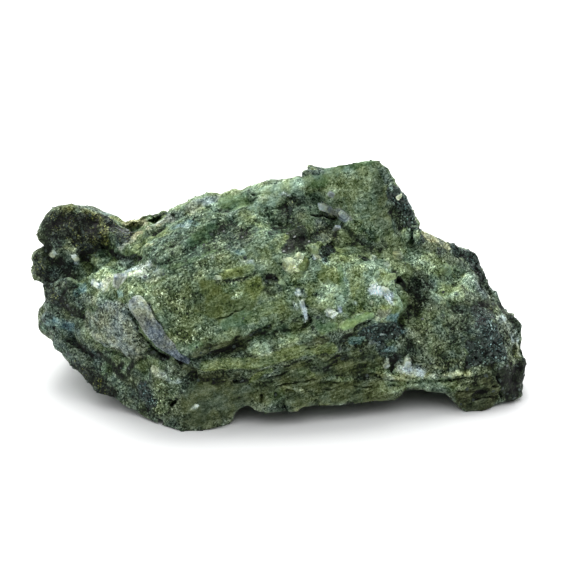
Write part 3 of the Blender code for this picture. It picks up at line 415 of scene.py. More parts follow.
    ("brown black crust", 0.9, 0.8, 0.2, [(36.4, -8.3, 17), (38.8, -6.7, 16.8)]),
    ("olive beryl", 0.7, 0.6, 0.4, [(37.8, -9.4, 15.8), (39.7, -9.3, 15)]),
    ("grey crust", 0.9, 0.9, 0.2, [(36.3, -4.4, 20.4), (37.6, -3.9, 18.9), (39.2, -3.7, 17.2)]),
    ("grey crust", 0.8, 0.8, 0.3, [(41.5, -4.6, 15.6), (42.5, -6.9, 13.8), (43.7, -7.2, 10.6)]),
    ("blue black mica", 0.6, 0.7, 0.3, [(42.1, -8, 12.7), (43.1, -8.9, 9.8)]),
    ("pale quartz", 0.5, 0.8, 0.3, [(44.4, -6.6, 9.8), (44.4, -8.5, 7.7)]),
    ("yellow green beryl", 0.5, 0.9, 0.2, [(33.7, -11.8, 14)]),
    ("yellow green beryl", 0.4, 0.8, 0.3, [(34, -12.5, 11.2), (34.2, -12.9, 10.2)]),
    ("yellow green beryl", 0.6, 0.7, 0.3, [(43.5, -7.8, 8.4), (44, -8.9, 7.7)]),
    ("blue black mica", 0.9, 0.8, 0.2, [(34.8, -12.9, 9.4), (38.1, -13.1, 9.1), (40.8, -12.1, 9.4)]),
    ("near black schist", 2.7, 1, 0.1, [(42.1, -12.4, 5.4), (43.5, -11.9, 2.5), (45.2, -9.7, 5.2)]),
    ("dark streaked schist", 0.6, 0.8, 0.2, [(38.4, -13.6, 8.1), (42.4, -11.6, 7.8)]),
    ("grey crust", 1.1, 0.8, 0.2, [(21.8, -14.6, 8.7), (24, -15.2, 8.6), (26.1, -15.7, 8.4)]),
    ("cream quartz", 0.8, 0.6, 0.3, [(21.5, -14.7, 8.3), (24.3, -15.6, 8)]),
    ("pale quartz", 0.6, 0.95, 0.1, [(23.1, -14.5, 9.7), (23.3, -15.1, 8.5)]),
    ("pale quartz", 0.6, 0.95, 0.1, [(19.1, -14.4, 9), (19.6, -14.2, 9.3)]),
    ("near black schist", 0.5, 0.8, 0.1, [(20.4, -14.2, 9.5), (20.9, -14.3, 10.1)]),
    ("golden crust", 0.9, 0.35, 0.5, [(29.1, -14.6, 8.7), (32.2, -13.5, 8.9)]),
    ("cream quartz", 0.5, 0.85, 0.15, [(24, -15.6, 7.2), (26.2, -15.1, 6.8), (28.5, -14.7, 6.9), (30.7, -14.6, 7), (32.8, -15.3, 7.4), (34.6, -15.2, 7.5)]),
    ("sugary beryl", 0.6, 0.8, 0.2, [(16.7, -15.1, 8.5), (18.9, -14.8, 7.7), (21.1, -15, 7.2)]),
    ("cream quartz", 0.6, 0.8, 0.2, [(21.5, -14.8, 8.3), (22.5, -15.2, 7.6), (24.3, -15.6, 7.6)]),
    ("dull beryl", 1.1, 0.8, 0.1, [(18.8, -17, 5.9), (23.7, -16, 5.5), (28.5, -15.5, 5.6), (31.4, -15.5, 5.4)]),
    ("near black schist", 0.6, 0.8, 0.1, [(35.8, -14.9, 6.6), (38.9, -13.9, 6.4)]),
    ("dark streaked schist", 2.9, 1, 0, [(34.7, -16.1, 3.2), (37.5, -14.6, 3.7)]),
    ("near black schist", 0.3, 1, 0, [(40, -13.6, 6.4), (40.6, -13.2, 1.6)]),
    ("olive beryl", 0.6, 0.5, 0.4, [(33.2, -16, 5.2), (36.6, -15.3, 4.9)]),
    ("sugary beryl", 1.7, 0.8, 0.2, [(23.5, -3.8, 25.9), (25.7, -5, 25.2), (28.8, -3.9, 23.4)]),
    ("tan crust", 0.8, 0.8, 0.1, [(27.4, -0.5, 28.3), (29.4, 0.1, 27.4), (31.1, 0.2, 26.1)]),
    ("sugary beryl", 1.5, 0.75, 0.2, [(32, -2.5, 22), (33.9, -2.7, 21.2), (35.1, -5.1, 20.7)]),
    ("pale beryl", 1.7, 0.7, 0.2, [(28.9, -8.2, 20.2), (30.7, -5.3, 20), (32.3, -7.5, 20.2)]),
    ("dark schist", 1.5, 0.65, 0.3, [(32.6, -9.1, 16.9), (33.6, -11, 15), (34.3, -11.9, 12.6)]),
    ("blue black mica", 1.5, 0.95, 0.05, [(36.8, -8.5, 16.6), (37.7, -10.1, 15.4), (38.8, -11.1, 13.4)]),
    ("near black schist", 0.8, 0.7, 0.3, [(35.6, -8.4, 17.4), (37.7, -6.5, 17.3), (39.8, -4.9, 16.7)]),
    ("blue black mica", 1.5, 0.9, 0.1, [(35.4, -12.4, 11.6), (37.8, -12.1, 10.6), (40.5, -11, 10.5)]),
    ("blue black mica", 0.9, 0.8, 0.3, [(34.8, -13.2, 8.7), (37.3, -13.2, 9.2)]),
    ("grey crust", 0.8, 0.8, 0.1, [(40.2, -8, 15.2), (41.4, -8.8, 12.7), (42, -9.8, 10.3)]),
    ("pale quartz", 0.5, 0.9, 0.2, [(41.3, -7.2, 15.1), (42.5, -7.6, 12.5), (43.2, -8.2, 10.3)]),
    ("near black schist", 1.7, 1, 0, [(41, -13.4, 6.3), (42.6, -12.4, 3.7), (43.2, -13.1, 1.9)]),
    ("grey crust", 0.6, 0.8, 0.2, [(41.9, -7.9, 13.5), (42.7, -7.9, 11.8), (43.1, -8.8, 10.2)]),
    ("near black schist", 0.9, 0.8, 0.2, [(41.1, -4.3, 15.8), (42.4, -5.9, 15), (43.6, -6.2, 13.4)]),
    ("pale quartz", 0.8, 0.8, 0.3, [(21.8, -14.8, 8.4), (23.8, -15.4, 8), (25.8, -15.8, 7.9)]),
    ("cream quartz", 0.5, 0.75, 0.1, [(17.4, -15.4, 8), (19.2, -15.7, 7.4), (21.1, -15.3, 6.5), (23.3, -15.5, 6.7)]),
    ("cream quartz", 0.5, 0.8, 0.1, [(26.2, -15.1, 6.8), (29.2, -14.4, 6.9), (32, -15.3, 7.4), (34.3, -14.6, 7.4)]),
    ("grey green schist", 0.6, 0.6, 0.3, [(43.6, -7.4, 10.7), (44.1, -7.4, 8.6)]),
    # left end
    ("brown black crust", 3.2, 1, 0, [(-41.7, 2.2, 29.3), (-38.3, 2, 29.8), (-35.1, 3.1, 28.9), (-36.8, 0.7, 27.1)]),
    ("near black schist", 1.1, 0.9, 0.1, [(-44.1, 3.5, 29.6), (-44.3, 1.7, 26.7), (-43.8, 1.4, 24.8)]),
    ("near black schist", 1.7, 0.8, 0.2, [(-44.5, 0.4, 22.7), (-43.2, -2.1, 19.7)]),
    ("dark schist", 2.1, 0.9, 0.1, [(-42, 0.1, 20.8), (-41, -5.1, 18.7)]),
    ("golden crust", 0.9, 0.85, 0.4, [(-33.6, 3.6, 30), (-33.1, 1.9, 28.6), (-32.9, 1, 27)]),
    ("golden crust", 1.1, 0.6, 0.5, [(-41, 4.1, 32.2), (-39.7, 4, 32.6)]),
    ("golden crust", 0.9, 0.6, 0.5, [(-36.6, 4.3, 31.5), (-34.8, 4.6, 30.4)]),
    ("golden crust", 0.9, 0.4, 0.7, [(-37.5, 1, 27.8), (-34.9, 0.6, 27.2)]),
    ("brown black crust", 1.3, 1, 0, [(-31.4, 2.5, 29.2), (-29.3, 1.9, 28.6), (-27.2, -0.2, 29.1)]),
    ("dark schist", 0.8, 0.8, 0.1, [(-31.7, 0.6, 27.6), (-30.2, -1.2, 27.3)]),
    # painted shadow in the cleft under the knob
    ("near black schist", 0.6, 0.95, 0, [(-33.5, 1, 25.8), (-31.3, -0.9, 25), (-28.5, -4.1, 25.6), (-25.6, -7, 27)]),
    ("tan crust", 0.9, 0.95, 0.1, [(-29.4, 5.7, 28.7), (-26.6, 5.1, 29.2), (-22.6, -1.2, 31.5), (-20.4, -1, 32.2)]),
    ("golden crust", 0.4, 0.7, 0.2, [(-32.4, 5.7, 29.7), (-30.1, 5.9, 28.8), (-27.8, 4.9, 28.6)]),
    ("tan crust", 0.7, 0.8, 0.1, [(-24.4, -2, 30.7), (-26.5, -0.3, 29.2), (-27.8, -2, 28.3), (-29.8, -1.9, 26.8)]),
    ("near black schist", 0.5, 0.9, 0.1, [(-24, 5.9, 29.8), (-22.5, 5.7, 30.3), (-19.8, -0.8, 33)]),
    ("pale quartz", 0.6, 1, 0, [(-43.1, 1.3, 23.8), (-42.6, 1, 24.7)]),
    ("lilac quartz", 0.4, 0.7, 0.1, [(-44.7, 0.1, 22)]),
    ("pale quartz", 0.6, 1, 0.1, [(-38.7, -0.1, 24.2), (-38.5, 0.2, 23)]),
    ("cream quartz", 0.4, 0.6, 0.3, [(-40.2, 0.4, 25.8), (-38.8, 0, 25.4)]),
    ("blue black mica", 0.8, 0.8, 0.3, [(-42.1, 0.9, 26.2), (-40.9, 0.7, 26.7)]),
    ("olive beryl", 0.9, 0.7, 0.2, [(-37, 0.2, 22), (-34.1, -1.9, 22.6), (-31.3, -2.6, 24.1)]),
    ("dull beryl", 0.8, 0.7, 0.3, [(-35.4, 0.2, 23.9), (-32.3, -0.3, 24.1)]),
    ("dark schist", 0.8, 0.7, 0.2, [(-29.7, -3.5, 24.9), (-27.3, -5.3, 25.3)]),
    ("sugary beryl", 1.5, 0.9, 0.2, [(-34.7, -5.6, 23), (-31.9, -6.8, 24), (-30.2, -6.2, 23.7)]),
    ("pale quartz", 0.6, 1, 0, [(-34.3, -6.5, 21.8), (-33.3, -7.3, 21.6), (-32.2, -8.2, 22.2)]),
    ("cream quartz", 0.6, 0.7, 0.2, [(-33.4, -8.1, 20.7), (-31.4, -9.3, 21.9)]),
    ("lilac quartz", 1.3, 1, 0, [(-29.6, -10, 23.7), (-28.6, -10.5, 24.4)]),
    ("pale quartz", 1.7, 0.75, 0.45, [(-26.4, -9.9, 25.8), (-24.1, -11.2, 26.2), (-22.6, -12.4, 26.1)]),
    ("sugary beryl", 1.3, 0.8, 0.2, [(-26.1, -14, 24.1), (-23.9, -14.2, 24.2)]),
    ("cyan crust", 0.7, 0.9, 0, [(-29.3, -11.5, 22.3), (-28.5, -13.4, 22.5)]),
    ("cyan crust", 0.9, 0.8, 0.3, [(-37.5, -5.2, 20.4), (-36.5, -6.3, 19.9)]),
    ("grey green schist", 1.5, 0.8, 0.1, [(-38.9, -6, 19.9), (-37.4, -7.3, 17.7), (-35.3, -8.3, 19)]),
    ("grey crust", 2.9, 0.95, 0.05, [(-32, -12.3, 18.1), (-28.3, -15.7, 19), (-29.7, -14.5, 14.4), (-27.1, -15.7, 13.8)]),
    ("pink crust", 1.1, 0.8, 0.2, [(-30.3, -13.4, 19.9), (-29, -15.2, 19.2)]),
    ("pink crust", 0.8, 0.6, 0.3, [(-28, -15.8, 16.6), (-32.8, -12.2, 16.4)]),
    ("tan crust", 1.3, 0.5, 0.4, [(-30.6, -14, 12.7), (-27.5, -15.6, 13.3), (-28.1, -15.8, 15.4)]),
    ("lilac quartz", 0.7, 0.55, 0.2, [(-34, -12.2, 14), (-32.2, -13.1, 12.4)]),
    ("near black schist", 0.6, 0.85, 0.1, [(-40.6, -5.8, 17.8), (-38.6, -7.4, 16.1), (-36.2, -8.6, 15.5)]),
    ("near black schist", 0.2, 0.8, 0.1, [(-36.3, -8.3, 16.1), (-34.4, -10, 18), (-33.2, -10.8, 18.8)]),
    ("near black schist", 0.2, 0.8, 0.1, [(-27.1, -16.1, 20.8), (-26, -16.8, 18.8), (-25, -15.7, 15.8)]),
    ("near black schist", 0.3, 0.9, 0.1, [(-23.6, -16.8, 22.7), (-22.6, -18.3, 21.5), (-21.2, -19.3, 19.6)]),
    ("dark schist", 2.3, 0.9, 0.1, [(-43.5, -5.7, 12.8), (-41.7, -6.3, 10.9), (-37.9, -9.2, 11.6)]),
    ("cyan crust", 1.1, 0.6, 0.3, [(-42.2, -6.6, 13.6), (-38.8, -7.6, 12.9)]),
    ("cream quartz", 0.5, 0.6, 0.3, [(-45.3, -4.1, 10.3), (-43.4, -5, 9.2)]),
    ("pale quartz", 0.3, 0.8, 0.2, [(-42.9, -5.6, 11.9)]),
    ("dark schist", 1.7, 0.9, 0.1, [(-41.1, -6.7, 7.8), (-37.2, -10.1, 9.2), (-34.5, -11.2, 8.9)]),
    ("brown black crust", 0.9, 0.8, 0.1, [(-37.2, -9.3, 10), (-35.6, -10.8, 9.9)]),
    ("lilac quartz", 0.6, 0.4, 0.3, [(-37.5, -10.8, 8.3), (-35.6, -11.2, 8.5)]),
    ("near black schist", 1.1, 0.85, 0.2, [(-36, -11.9, 6.7), (-34.1, -12.7, 5.9), (-32.9, -13.6, 5.2)]),
    ("brown black crust", 1.5, 1, 0, [(-35.8, -12.1, 6.2), (-33.8, -13.8, 4.3), (-31.6, -14.9, 3.2)]),
    ("sugary beryl", 0.9, 0.95, 0.1, [(-32.5, -13, 6.9), (-30.2, -14.8, 5.6), (-27.9, -16.4, 4.3)]),
    ("olive beryl", 0.9, 0.9, 0.1, [(-30.8, -13.5, 9.7), (-32.1, -12.9, 7.7)]),
    ("grey green schist", 1.3, 0.8, 0.1, [(-27.8, -15.9, 7.3), (-27.1, -16.4, 5.5)]),
    ("near black schist", 0.4, 0.9, 0, [(-28.9, -14.6, 9.5), (-29.9, -14.4, 8.1), (-29.3, -15.1, 6.9)]),
    ("near black schist", 0.5, 0.95, 0, [(-26.5, -16, 10.4), (-27.7, -15.6, 8.4), (-28.2, -15.9, 6.4)]),
    ("pale beryl", 0.3, 0.8, 0, [(-27.7, -15.3, 9.7), (-28.9, -15, 7.8)]),
    ("near black schist", 0.5, 0.8, 0.1, [(-28.1, -14.8, 10.9), (-25.3, -16.5, 12.2), (-23.4, -17.3, 13.2)]),
    # painted shadow beneath the quartz blade
    ("near black schist", 0.6, 0.95, 0, [(-23.8, -17.2, 13.1), (-20.9, -17.9, 12.3), (-17.8, -20.1, 12.7)]),
    ("dull beryl", 1.1, 0.8, 0.1, [(-25.2, -15.6, 9.2), (-24.4, -16.8, 8.2)]),
    ("speckled olive beryl", 2.1, 0.8, 0.1, [(-21.3, -19.5, 6.4), (-19.7, -20.6, 8.3), (-21.8, -19.3, 3.8)]),
    ("pale quartz", 0.8, 0.75, 0.5, [(-22.7, -18.1, 9.9), (-20.9, -19.3, 9.4), (-18.6, -21, 9.1)]),
    ("blue black mica", 1.1, 1, 0, [(-25.1, -17.6, 6), (-24.6, -17.8, 4.2)]),
    ("blue black mica", 0.8, 0.85, 0.2, [(-24.1, -18.4, 2.9), (-22.8, -18.5, 3.6)]),
    ("near black schist", 0.4, 0.8, 0.1, [(-26.7, -16.5, 6), (-25.9, -17.5, 4.9)]),
    ("near black schist", 0.3, 0.9, 0, [(-16.5, -20.4, 8.4), (-18.8, -20.3, 5), (-20.4, -20.9, 2.7)]),
    ("dark streaked schist", 0.6, 0.6, 0.2, [(-16.7, -20.7, 12), (-15.1, -19.9, 10.3)]),
    ("brown black crust", 1.1, 0.95, 0, [(-32.4, 3.5, 30), (-30.8, 1.9, 29), (-29, -1.2, 28.3)]),
    ("brown black crust", 1.3, 0.85, 0.1, [(-44.3, -1.9, 18.8), (-42.6, -4.5, 18), (-41, -5.6, 17.7)]),
    ("dark schist", 1.5, 0.8, 0.2, [(-41.2, -0.6, 20.3), (-38.9, -6, 19.9), (-37.8, -7.4, 17.3)]),
    ("near black schist", 0.6, 0.8, 0.2, [(-41, -4.2, 20.3), (-39.8, -5.8, 18.2), (-38.2, -7.6, 16.6), (-35.8, -9.1, 15.7)]),
    ("cyan crust", 0.8, 0.7, 0.3, [(-37.5, -5.9, 19.5), (-36.3, -5.7, 20.6)]),
    ("pale quartz", 0.8, 0.8, 0.4, [(-32.2, -8.4, 21.9), (-30.7, -8.2, 23.8), (-28.6, -7.1, 24.1)]),
    ("pale quartz", 0.6, 0.9, 0.2, [(-27.9, -6.9, 24.4), (-25.5, -8.4, 25.9), (-23.4, -10.1, 27.3)]),
    ("pink crust", 1.7, 0.75, 0.3, [(-35.3, -9.8, 15.7), (-32.4, -13.1, 14.5), (-29.5, -14.3, 12.6), (-26.8, -15.7, 12.1)]),
    ("dark schist", 1.7, 0.8, 0.3, [(-42.1, -6.3, 10.1), (-38.3, -10.4, 8.5), (-34.8, -12.5, 5.8)]),
    ("brown black crust", 1.3, 0.85, 0.2, [(-38.1, -10.2, 6.5), (-34.9, -12.9, 4.8), (-32.3, -14.8, 3.8)]),
    ("dark schist", 1.1, 0.7, 0.4, [(-31.7, -13.8, 6.1), (-28.6, -15.8, 4.7), (-25.6, -17.6, 3.7)]),
    ("near black schist", 0.6, 0.85, 0.1, [(-33.6, -11.9, 10.1), (-30.9, -13.7, 8.6), (-28.9, -15.4, 6.6)]),
    ("brown black crust", 1.1, 0.95, 0, [(-46, 0.6, 23.5), (-45.7, 0.2, 21.6), (-44.5, -0.6, 20.3)]),
    ("dark schist", 1.5, 0.75, 0.2, [(-44.7, -5.1, 13.7), (-43.8, -4.8, 10.6), (-42.2, -6.3, 9.3)]),
    ("cyan crust", 0.9, 0.6, 0.5, [(-44.6, -4.4, 11.7), (-42.2, -6.6, 13.6), (-40.8, -6.7, 12)]),
    ("near black schist", 0.9, 0.7, 0.3, [(-41.6, 0.8, 22.6), (-40.4, -0.4, 20.6), (-38.9, -5.6, 20.6)]),
    ("grey crust", 0.8, 0.6, 0.4, [(-36.2, -7.4, 19), (-33.6, -10, 19.8), (-31.1, -12.3, 20.1)]),
]

# Hollows of the solid that the rock fills flush, by the points of each filling's flat hull.
FILLINGS = {
    "beside the knob": [(-32.4, 1.9, 28.8), (-30.2, 3.6, 29.6), (-27.8, 4.6, 29.6), (-25.4, 3, 29.5), (-23.8, -3, 29.3), (-25.4, -6.4, 26.8), (-28.2, -4.3, 24.9), (-32.5, 0.6, 24), (-29, 6, 25.8)],
    "knob shoulder": [(-34.7, 4.5, 30.5), (-33.3, 4.2, 30.8), (-31.5, 4.1, 30.5), (-28.9, 3.1, 29.7), (-26.8, 1.9, 28.9), (-29.1, 1.6, 26.2), (-32.5, 0.9, 25.1), (-34.6, 0.9, 27.5), (-31.8, 5.4, 27.5)],
    "behind the white blocks": [(1.3, -10.3, 31.1), (3.4, -9.2, 31.8), (6, -5.1, 30.5), (6.4, -10.8, 30.8), (4.5, -8.9, 28.6), (2.7, -8.8, 28.9), (4.1, -6.1, 29.1)],
    "hollow, left": [(-3.5, -0.5, 36.5), (-0.9, -0.3, 37.2), (1.7, -0.6, 36.9), (0.9, -1.1, 34), (-0.9, -1.9, 33.1), (-3.5, -2.8, 34.7), (-1, 1.6, 34.3)],
    "crown top": [(4, 0.9, 40.5), (8.9, 0.3, 41.8), (13.6, -0.9, 43.4), (17.1, -1.7, 43.6), (19, -1.7, 41.6), (18, -2.2, 39.1), (10.7, -1.3, 39.1), (5, 0, 38.3), (12.3, 4.8, 38.9)],
    "hollow, far left": [(-2.7, -2.1, 35.6), (-0.5, -1, 36.3), (2, -1, 35.5), (2.8, -1.8, 33.5), (1.3, -4.5, 32.2), (-1.6, -3.8, 32.7), (0.2, 0.4, 33.2)],
    "hollow, low": [(4.2, -2.8, 31.9), (7.6, -0.6, 32.2), (10.5, -1.8, 31.5), (11.2, -3.9, 29.6), (8, -9.5, 30.3), (4.5, -7.7, 30.4), (7.8, -1.8, 29.8)],
    "slit": [(-0.9, -11.5, 30.5), (0.6, -10.3, 31.9), (2.9, -9.3, 32.3), (4.1, -10.9, 31), (3.2, -13.2, 29.7), (0.9, -13.4, 28.3), (-0.7, -12.7, 29.1), (1.5, -8.9, 29.2)],
    "round hollow": [(21.5, -6.9, 21.7), (23.7, -4.4, 21.5), (25.9, -5.6, 21.3), (27, -7.5, 20.1), (26.4, -8.5, 18.4), (24.6, -9, 16.8), (22.1, -10.1, 18.8), (24.8, -4.7, 18.5)],
    "low left edge": [(-42.1, -6.2, 7.6), (-38.9, -9.5, 7.7), (-37.6, -9.5, 4.7), (-35.6, -11.5, 3.5), (-33.9, -14.8, 3), (-31.1, -15.5, 2.5), (-29.5, -15.7, 4), (-33.4, -12.6, 6.9), (-37.3, -9.5, 9.4), (-36.3, -6.5, 2.6)],
    "left foot gap": [(-24.2, -18.4, 3), (-21.9, -19.2, 4.3), (-19.7, -19.8, 3.8), (-18.5, -21.9, 2.5), (-19.6, -21.9, 1.1), (-21.5, -21.1, 1.2), (-23.8, -19.2, 1.8), (-21.7, -15.9, -0)],
    "left hollow": [(-42.8, -3.5, 18.9), (-40.7, -4.8, 20.1), (-38.3, -6.4, 19), (-37.1, -8, 16.5), (-39.1, -7.6, 15), (-41.5, -5.8, 15.6), (-43.1, -4.5, 17.2), (-41, -2.2, 15.8)],
    "lower left hollow": [(-31.3, -13.4, 8.9), (-29, -13.7, 10.6), (-26.2, -15.8, 11.4), (-25.6, -15.7, 9), (-27.1, -16.3, 6.8), (-29.5, -15.4, 5.4), (-31.4, -13.9, 6.3), (-29.1, -11.4, 6.4)],
    "slab hollow": [(-5.5, -19.8, 7.1), (-3.4, -19.2, 7.4), (-1.4, -19.3, 6.6), (-1.4, -20.8, 4.8), (-3.4, -21.1, 4.1), (-5.2, -20.3, 4.7), (-3.4, -17.5, 4.3)],
    "beside the knob, top": [(-34, 7.8, 30), (-32.4, 8.6, 29.2), (-30.2, 6, 29.7), (-28, 4.5, 29.5), (-27.1, 0.9, 29.2), (-29.9, -0.1, 28.8), (-33.2, 2.3, 29), (-31.3, 8.9, 27.5)],
    "left end notch": [(-45, -1.1, 19), (-43.8, -1.5, 19.8), (-42, -3.3, 20.2), (-41.1, -5.4, 18.1), (-42.3, -5.4, 16.9), (-43.6, -4, 17.4), (-43.8, 1, 16.5)],
    "right end notch": [(41.4, -7.7, 14.3), (44.3, -6.6, 12.5), (45.7, -6.1, 10.1), (46.1, -7.3, 8.2), (46, -8.4, 7.1), (42.6, -11.6, 7.2), (41.2, -11, 10.2), (44.7, -4, 7.6)],
    "top edge, middle": [(-5.3, 0.9, 37.5), (-3.5, 3.5, 37.4), (-1.1, 0.9, 38.5), (1.7, 0.8, 38.9), (3.9, 0.3, 39.5), (4, -0.7, 38.2), (-0.9, -0.8, 37.4), (-5.3, -0.3, 36.8), (-0.8, 4.3, 36.6)],
    "cave": [(2.3, -9.6, 31.3), (4.5, -8.5, 31.6), (6.6, -10.4, 31.3), (5.9, -11.4, 29.4), (3.7, -12.4, 29.6), (2.7, -9.2, 29.1), (4.3, -7.9, 29.3)],
    "under the crown": [(10.8, -5.3, 29), (13.7, -4.5, 29), (16.2, -5.6, 28.3), (16.9, -7.9, 27.3), (13.1, -10.4, 27.2), (10.2, -9.7, 28.5), (13.7, -4.6, 27.1)],
    "right of the middle": [(18.8, -5.2, 28.6), (22.3, -2.9, 27.5), (23, -5.2, 25.8), (20.1, -8.6, 25.7), (18, -7.1, 27), (20.7, -3.1, 25.7)],
    "crown right edge": [(20.9, -1.8, 38.9), (22.7, -1.6, 36.5), (24, -0.5, 33.4), (24.9, -1.3, 31.1), (21.9, -1.6, 31.4), (19.1, -2.3, 38), (22.6, 2.2, 33.4)],
    "crown right corner": [(14.3, -0.5, 43.4), (17.5, -1.3, 43.8), (19.4, -1, 42.1), (20.9, -1.4, 39.6), (18, -2.5, 38.5), (13.6, -2, 40.2), (17.6, 2.3, 40)],
    "far left edge": [(-41.3, -7.5, 10.8), (-39.2, -9.9, 9.1), (-36.4, -12.1, 6.6), (-33.8, -13.8, 3.9), (-34.1, -11.8, 8.5), (-36.1, -7.5, 4.9)],
    "lower left edge": [(-33.8, -13.8, 3.9), (-29.4, -16.3, 1.8), (-25.4, -18.7, 0.5), (-21.8, -21, 0.1), (-27.6, -16.1, 4.6), (-34.1, -11.8, 8.5), (-30, -9, 4), (-24, -18, 4.5)],
    "corner crystal foot": [(-21.8, -21, 0.1), (-18.1, -23.2, 0), (-13.8, -22.9, 0), (-9.9, -22, 0.9), (-12, -21.4, 3.9), (-17.4, -21.5, 4.8), (-14.5, -18.9, 0)],
    "crown edge": [(19, -1.7, 41.6), (20.5, -1.7, 38.9), (22.1, -1.8, 35.5), (22.7, -1.1, 32.8), (20.3, -2.6, 33.4), (18.3, -2.4, 38.4), (20.9, 2.7, 35)],
    "shoulder top": [(24.3, -0.6, 30.6), (26.7, 0.4, 28.7), (29.7, 0.4, 27.3), (32.5, 1.6, 26), (34.9, 1.8, 24.3), (29.5, -2.6, 24.2), (24.8, -1.1, 26.4), (29.5, 4.5, 24.8)],
    "under the ledge": [(21, -15, 6.7), (27.4, -14.5, 5.8), (34.6, -14.7, 6.7), (38.4, -13.9, 7.1), (21.4, -16.2, 5.3), (27.3, -15.4, 4.6), (32.1, -15.4, 5), (37.2, -15, 6.1), (30.4, -11.6, 4)],
    "speckled block": [(-23.2, -17.7, 11.3), (-19.3, -20.4, 12.3), (-16.9, -20.8, 9.7), (-17.6, -19.9, 7.1), (-20.9, -18.6, 2.5), (-23.4, -18.5, 3.4), (-24.5, -17.2, 6.9), (-21.2, -15.5, 5.7)],
    "left plane": [(-35.8, -8.6, 18.4), (-32.1, -10.6, 20.2), (-28.1, -14.2, 21.5), (-25.4, -17.1, 19), (-25.4, -15.6, 14.6), (-28.4, -15.2, 12.4), (-32.9, -13.2, 13.8), (-36.3, -8.7, 15.2), (-31.1, -9.4, 15.1)],
    "right end face": [(34.8, -8.1, 17.8), (39, -4.8, 17.4), (41.4, -7.4, 14.6), (42.8, -10, 10.6), (41.2, -12.7, 8.5), (36.5, -13.4, 8.9), (34.3, -11.7, 12.6), (39.2, -6.2, 11.1)],
    "hollow": [(-0.4, -0.8, 34.8), (0.9, -0.4, 36.5), (3.9, -0.9, 37), (7.2, 0.2, 35.4), (9.8, -0.3, 33.2), (10.9, -1.7, 31), (7.5, -4.4, 29.8), (4.5, -7.2, 31.8), (2, -5.2, 32.1), (0.2, -1.4, 32.9), (4.7, 3, 31.7)],
    "hollow, right": [(9.8, -0.3, 33.2), (13, -2.8, 33.5), (15.9, -3.3, 31.3), (16.7, -4.6, 28.3), (12.6, -5.6, 27.1), (9.3, -6.7, 29.2), (7.5, -4.4, 29.8), (12.3, 1, 29)],
    "lower groove, left": [(-15.1, -20.2, 12.6), (-12.6, -21, 12.3), (-8.7, -20.7, 12.7), (-5.5, -20.4, 12.7), (-14.8, -20.4, 8.7), (-11.8, -20.3, 7.4), (-8.1, -19.7, 6.6), (-5.6, -19.4, 7.3), (-10.5, -16.1, 7.8)],
    "lower groove, right": [(-5.5, -20.4, 12.7), (-2.6, -20.1, 13.8), (0.6, -19.5, 14.7), (4.1, -19.1, 14.4), (5.6, -18, 11.8), (3.4, -18, 9), (-0.9, -18.5, 8), (-5.6, -19.4, 7.3), (-0.1, -15.2, 9.3)],
    "corner": [(-20.5, -20.2, 8.6), (-19, -21, 11), (-16.2, -20.1, 10.1), (-14.8, -20.8, 8), (-16.3, -21.5, 5.2), (-18.9, -20.1, 4), (-20.9, -19.8, 5.9), (-18.4, -17.2, 5.7)],
    "round hole": [(20.7, -6.8, 23.3), (22.7, -4.8, 24.4), (25.7, -4, 23.2), (26.9, -4.7, 20.7), (26.5, -6.4, 18.2), (24.3, -7.4, 16.2), (21.3, -10.3, 19.2), (24.3, -3.1, 19.2)],
}

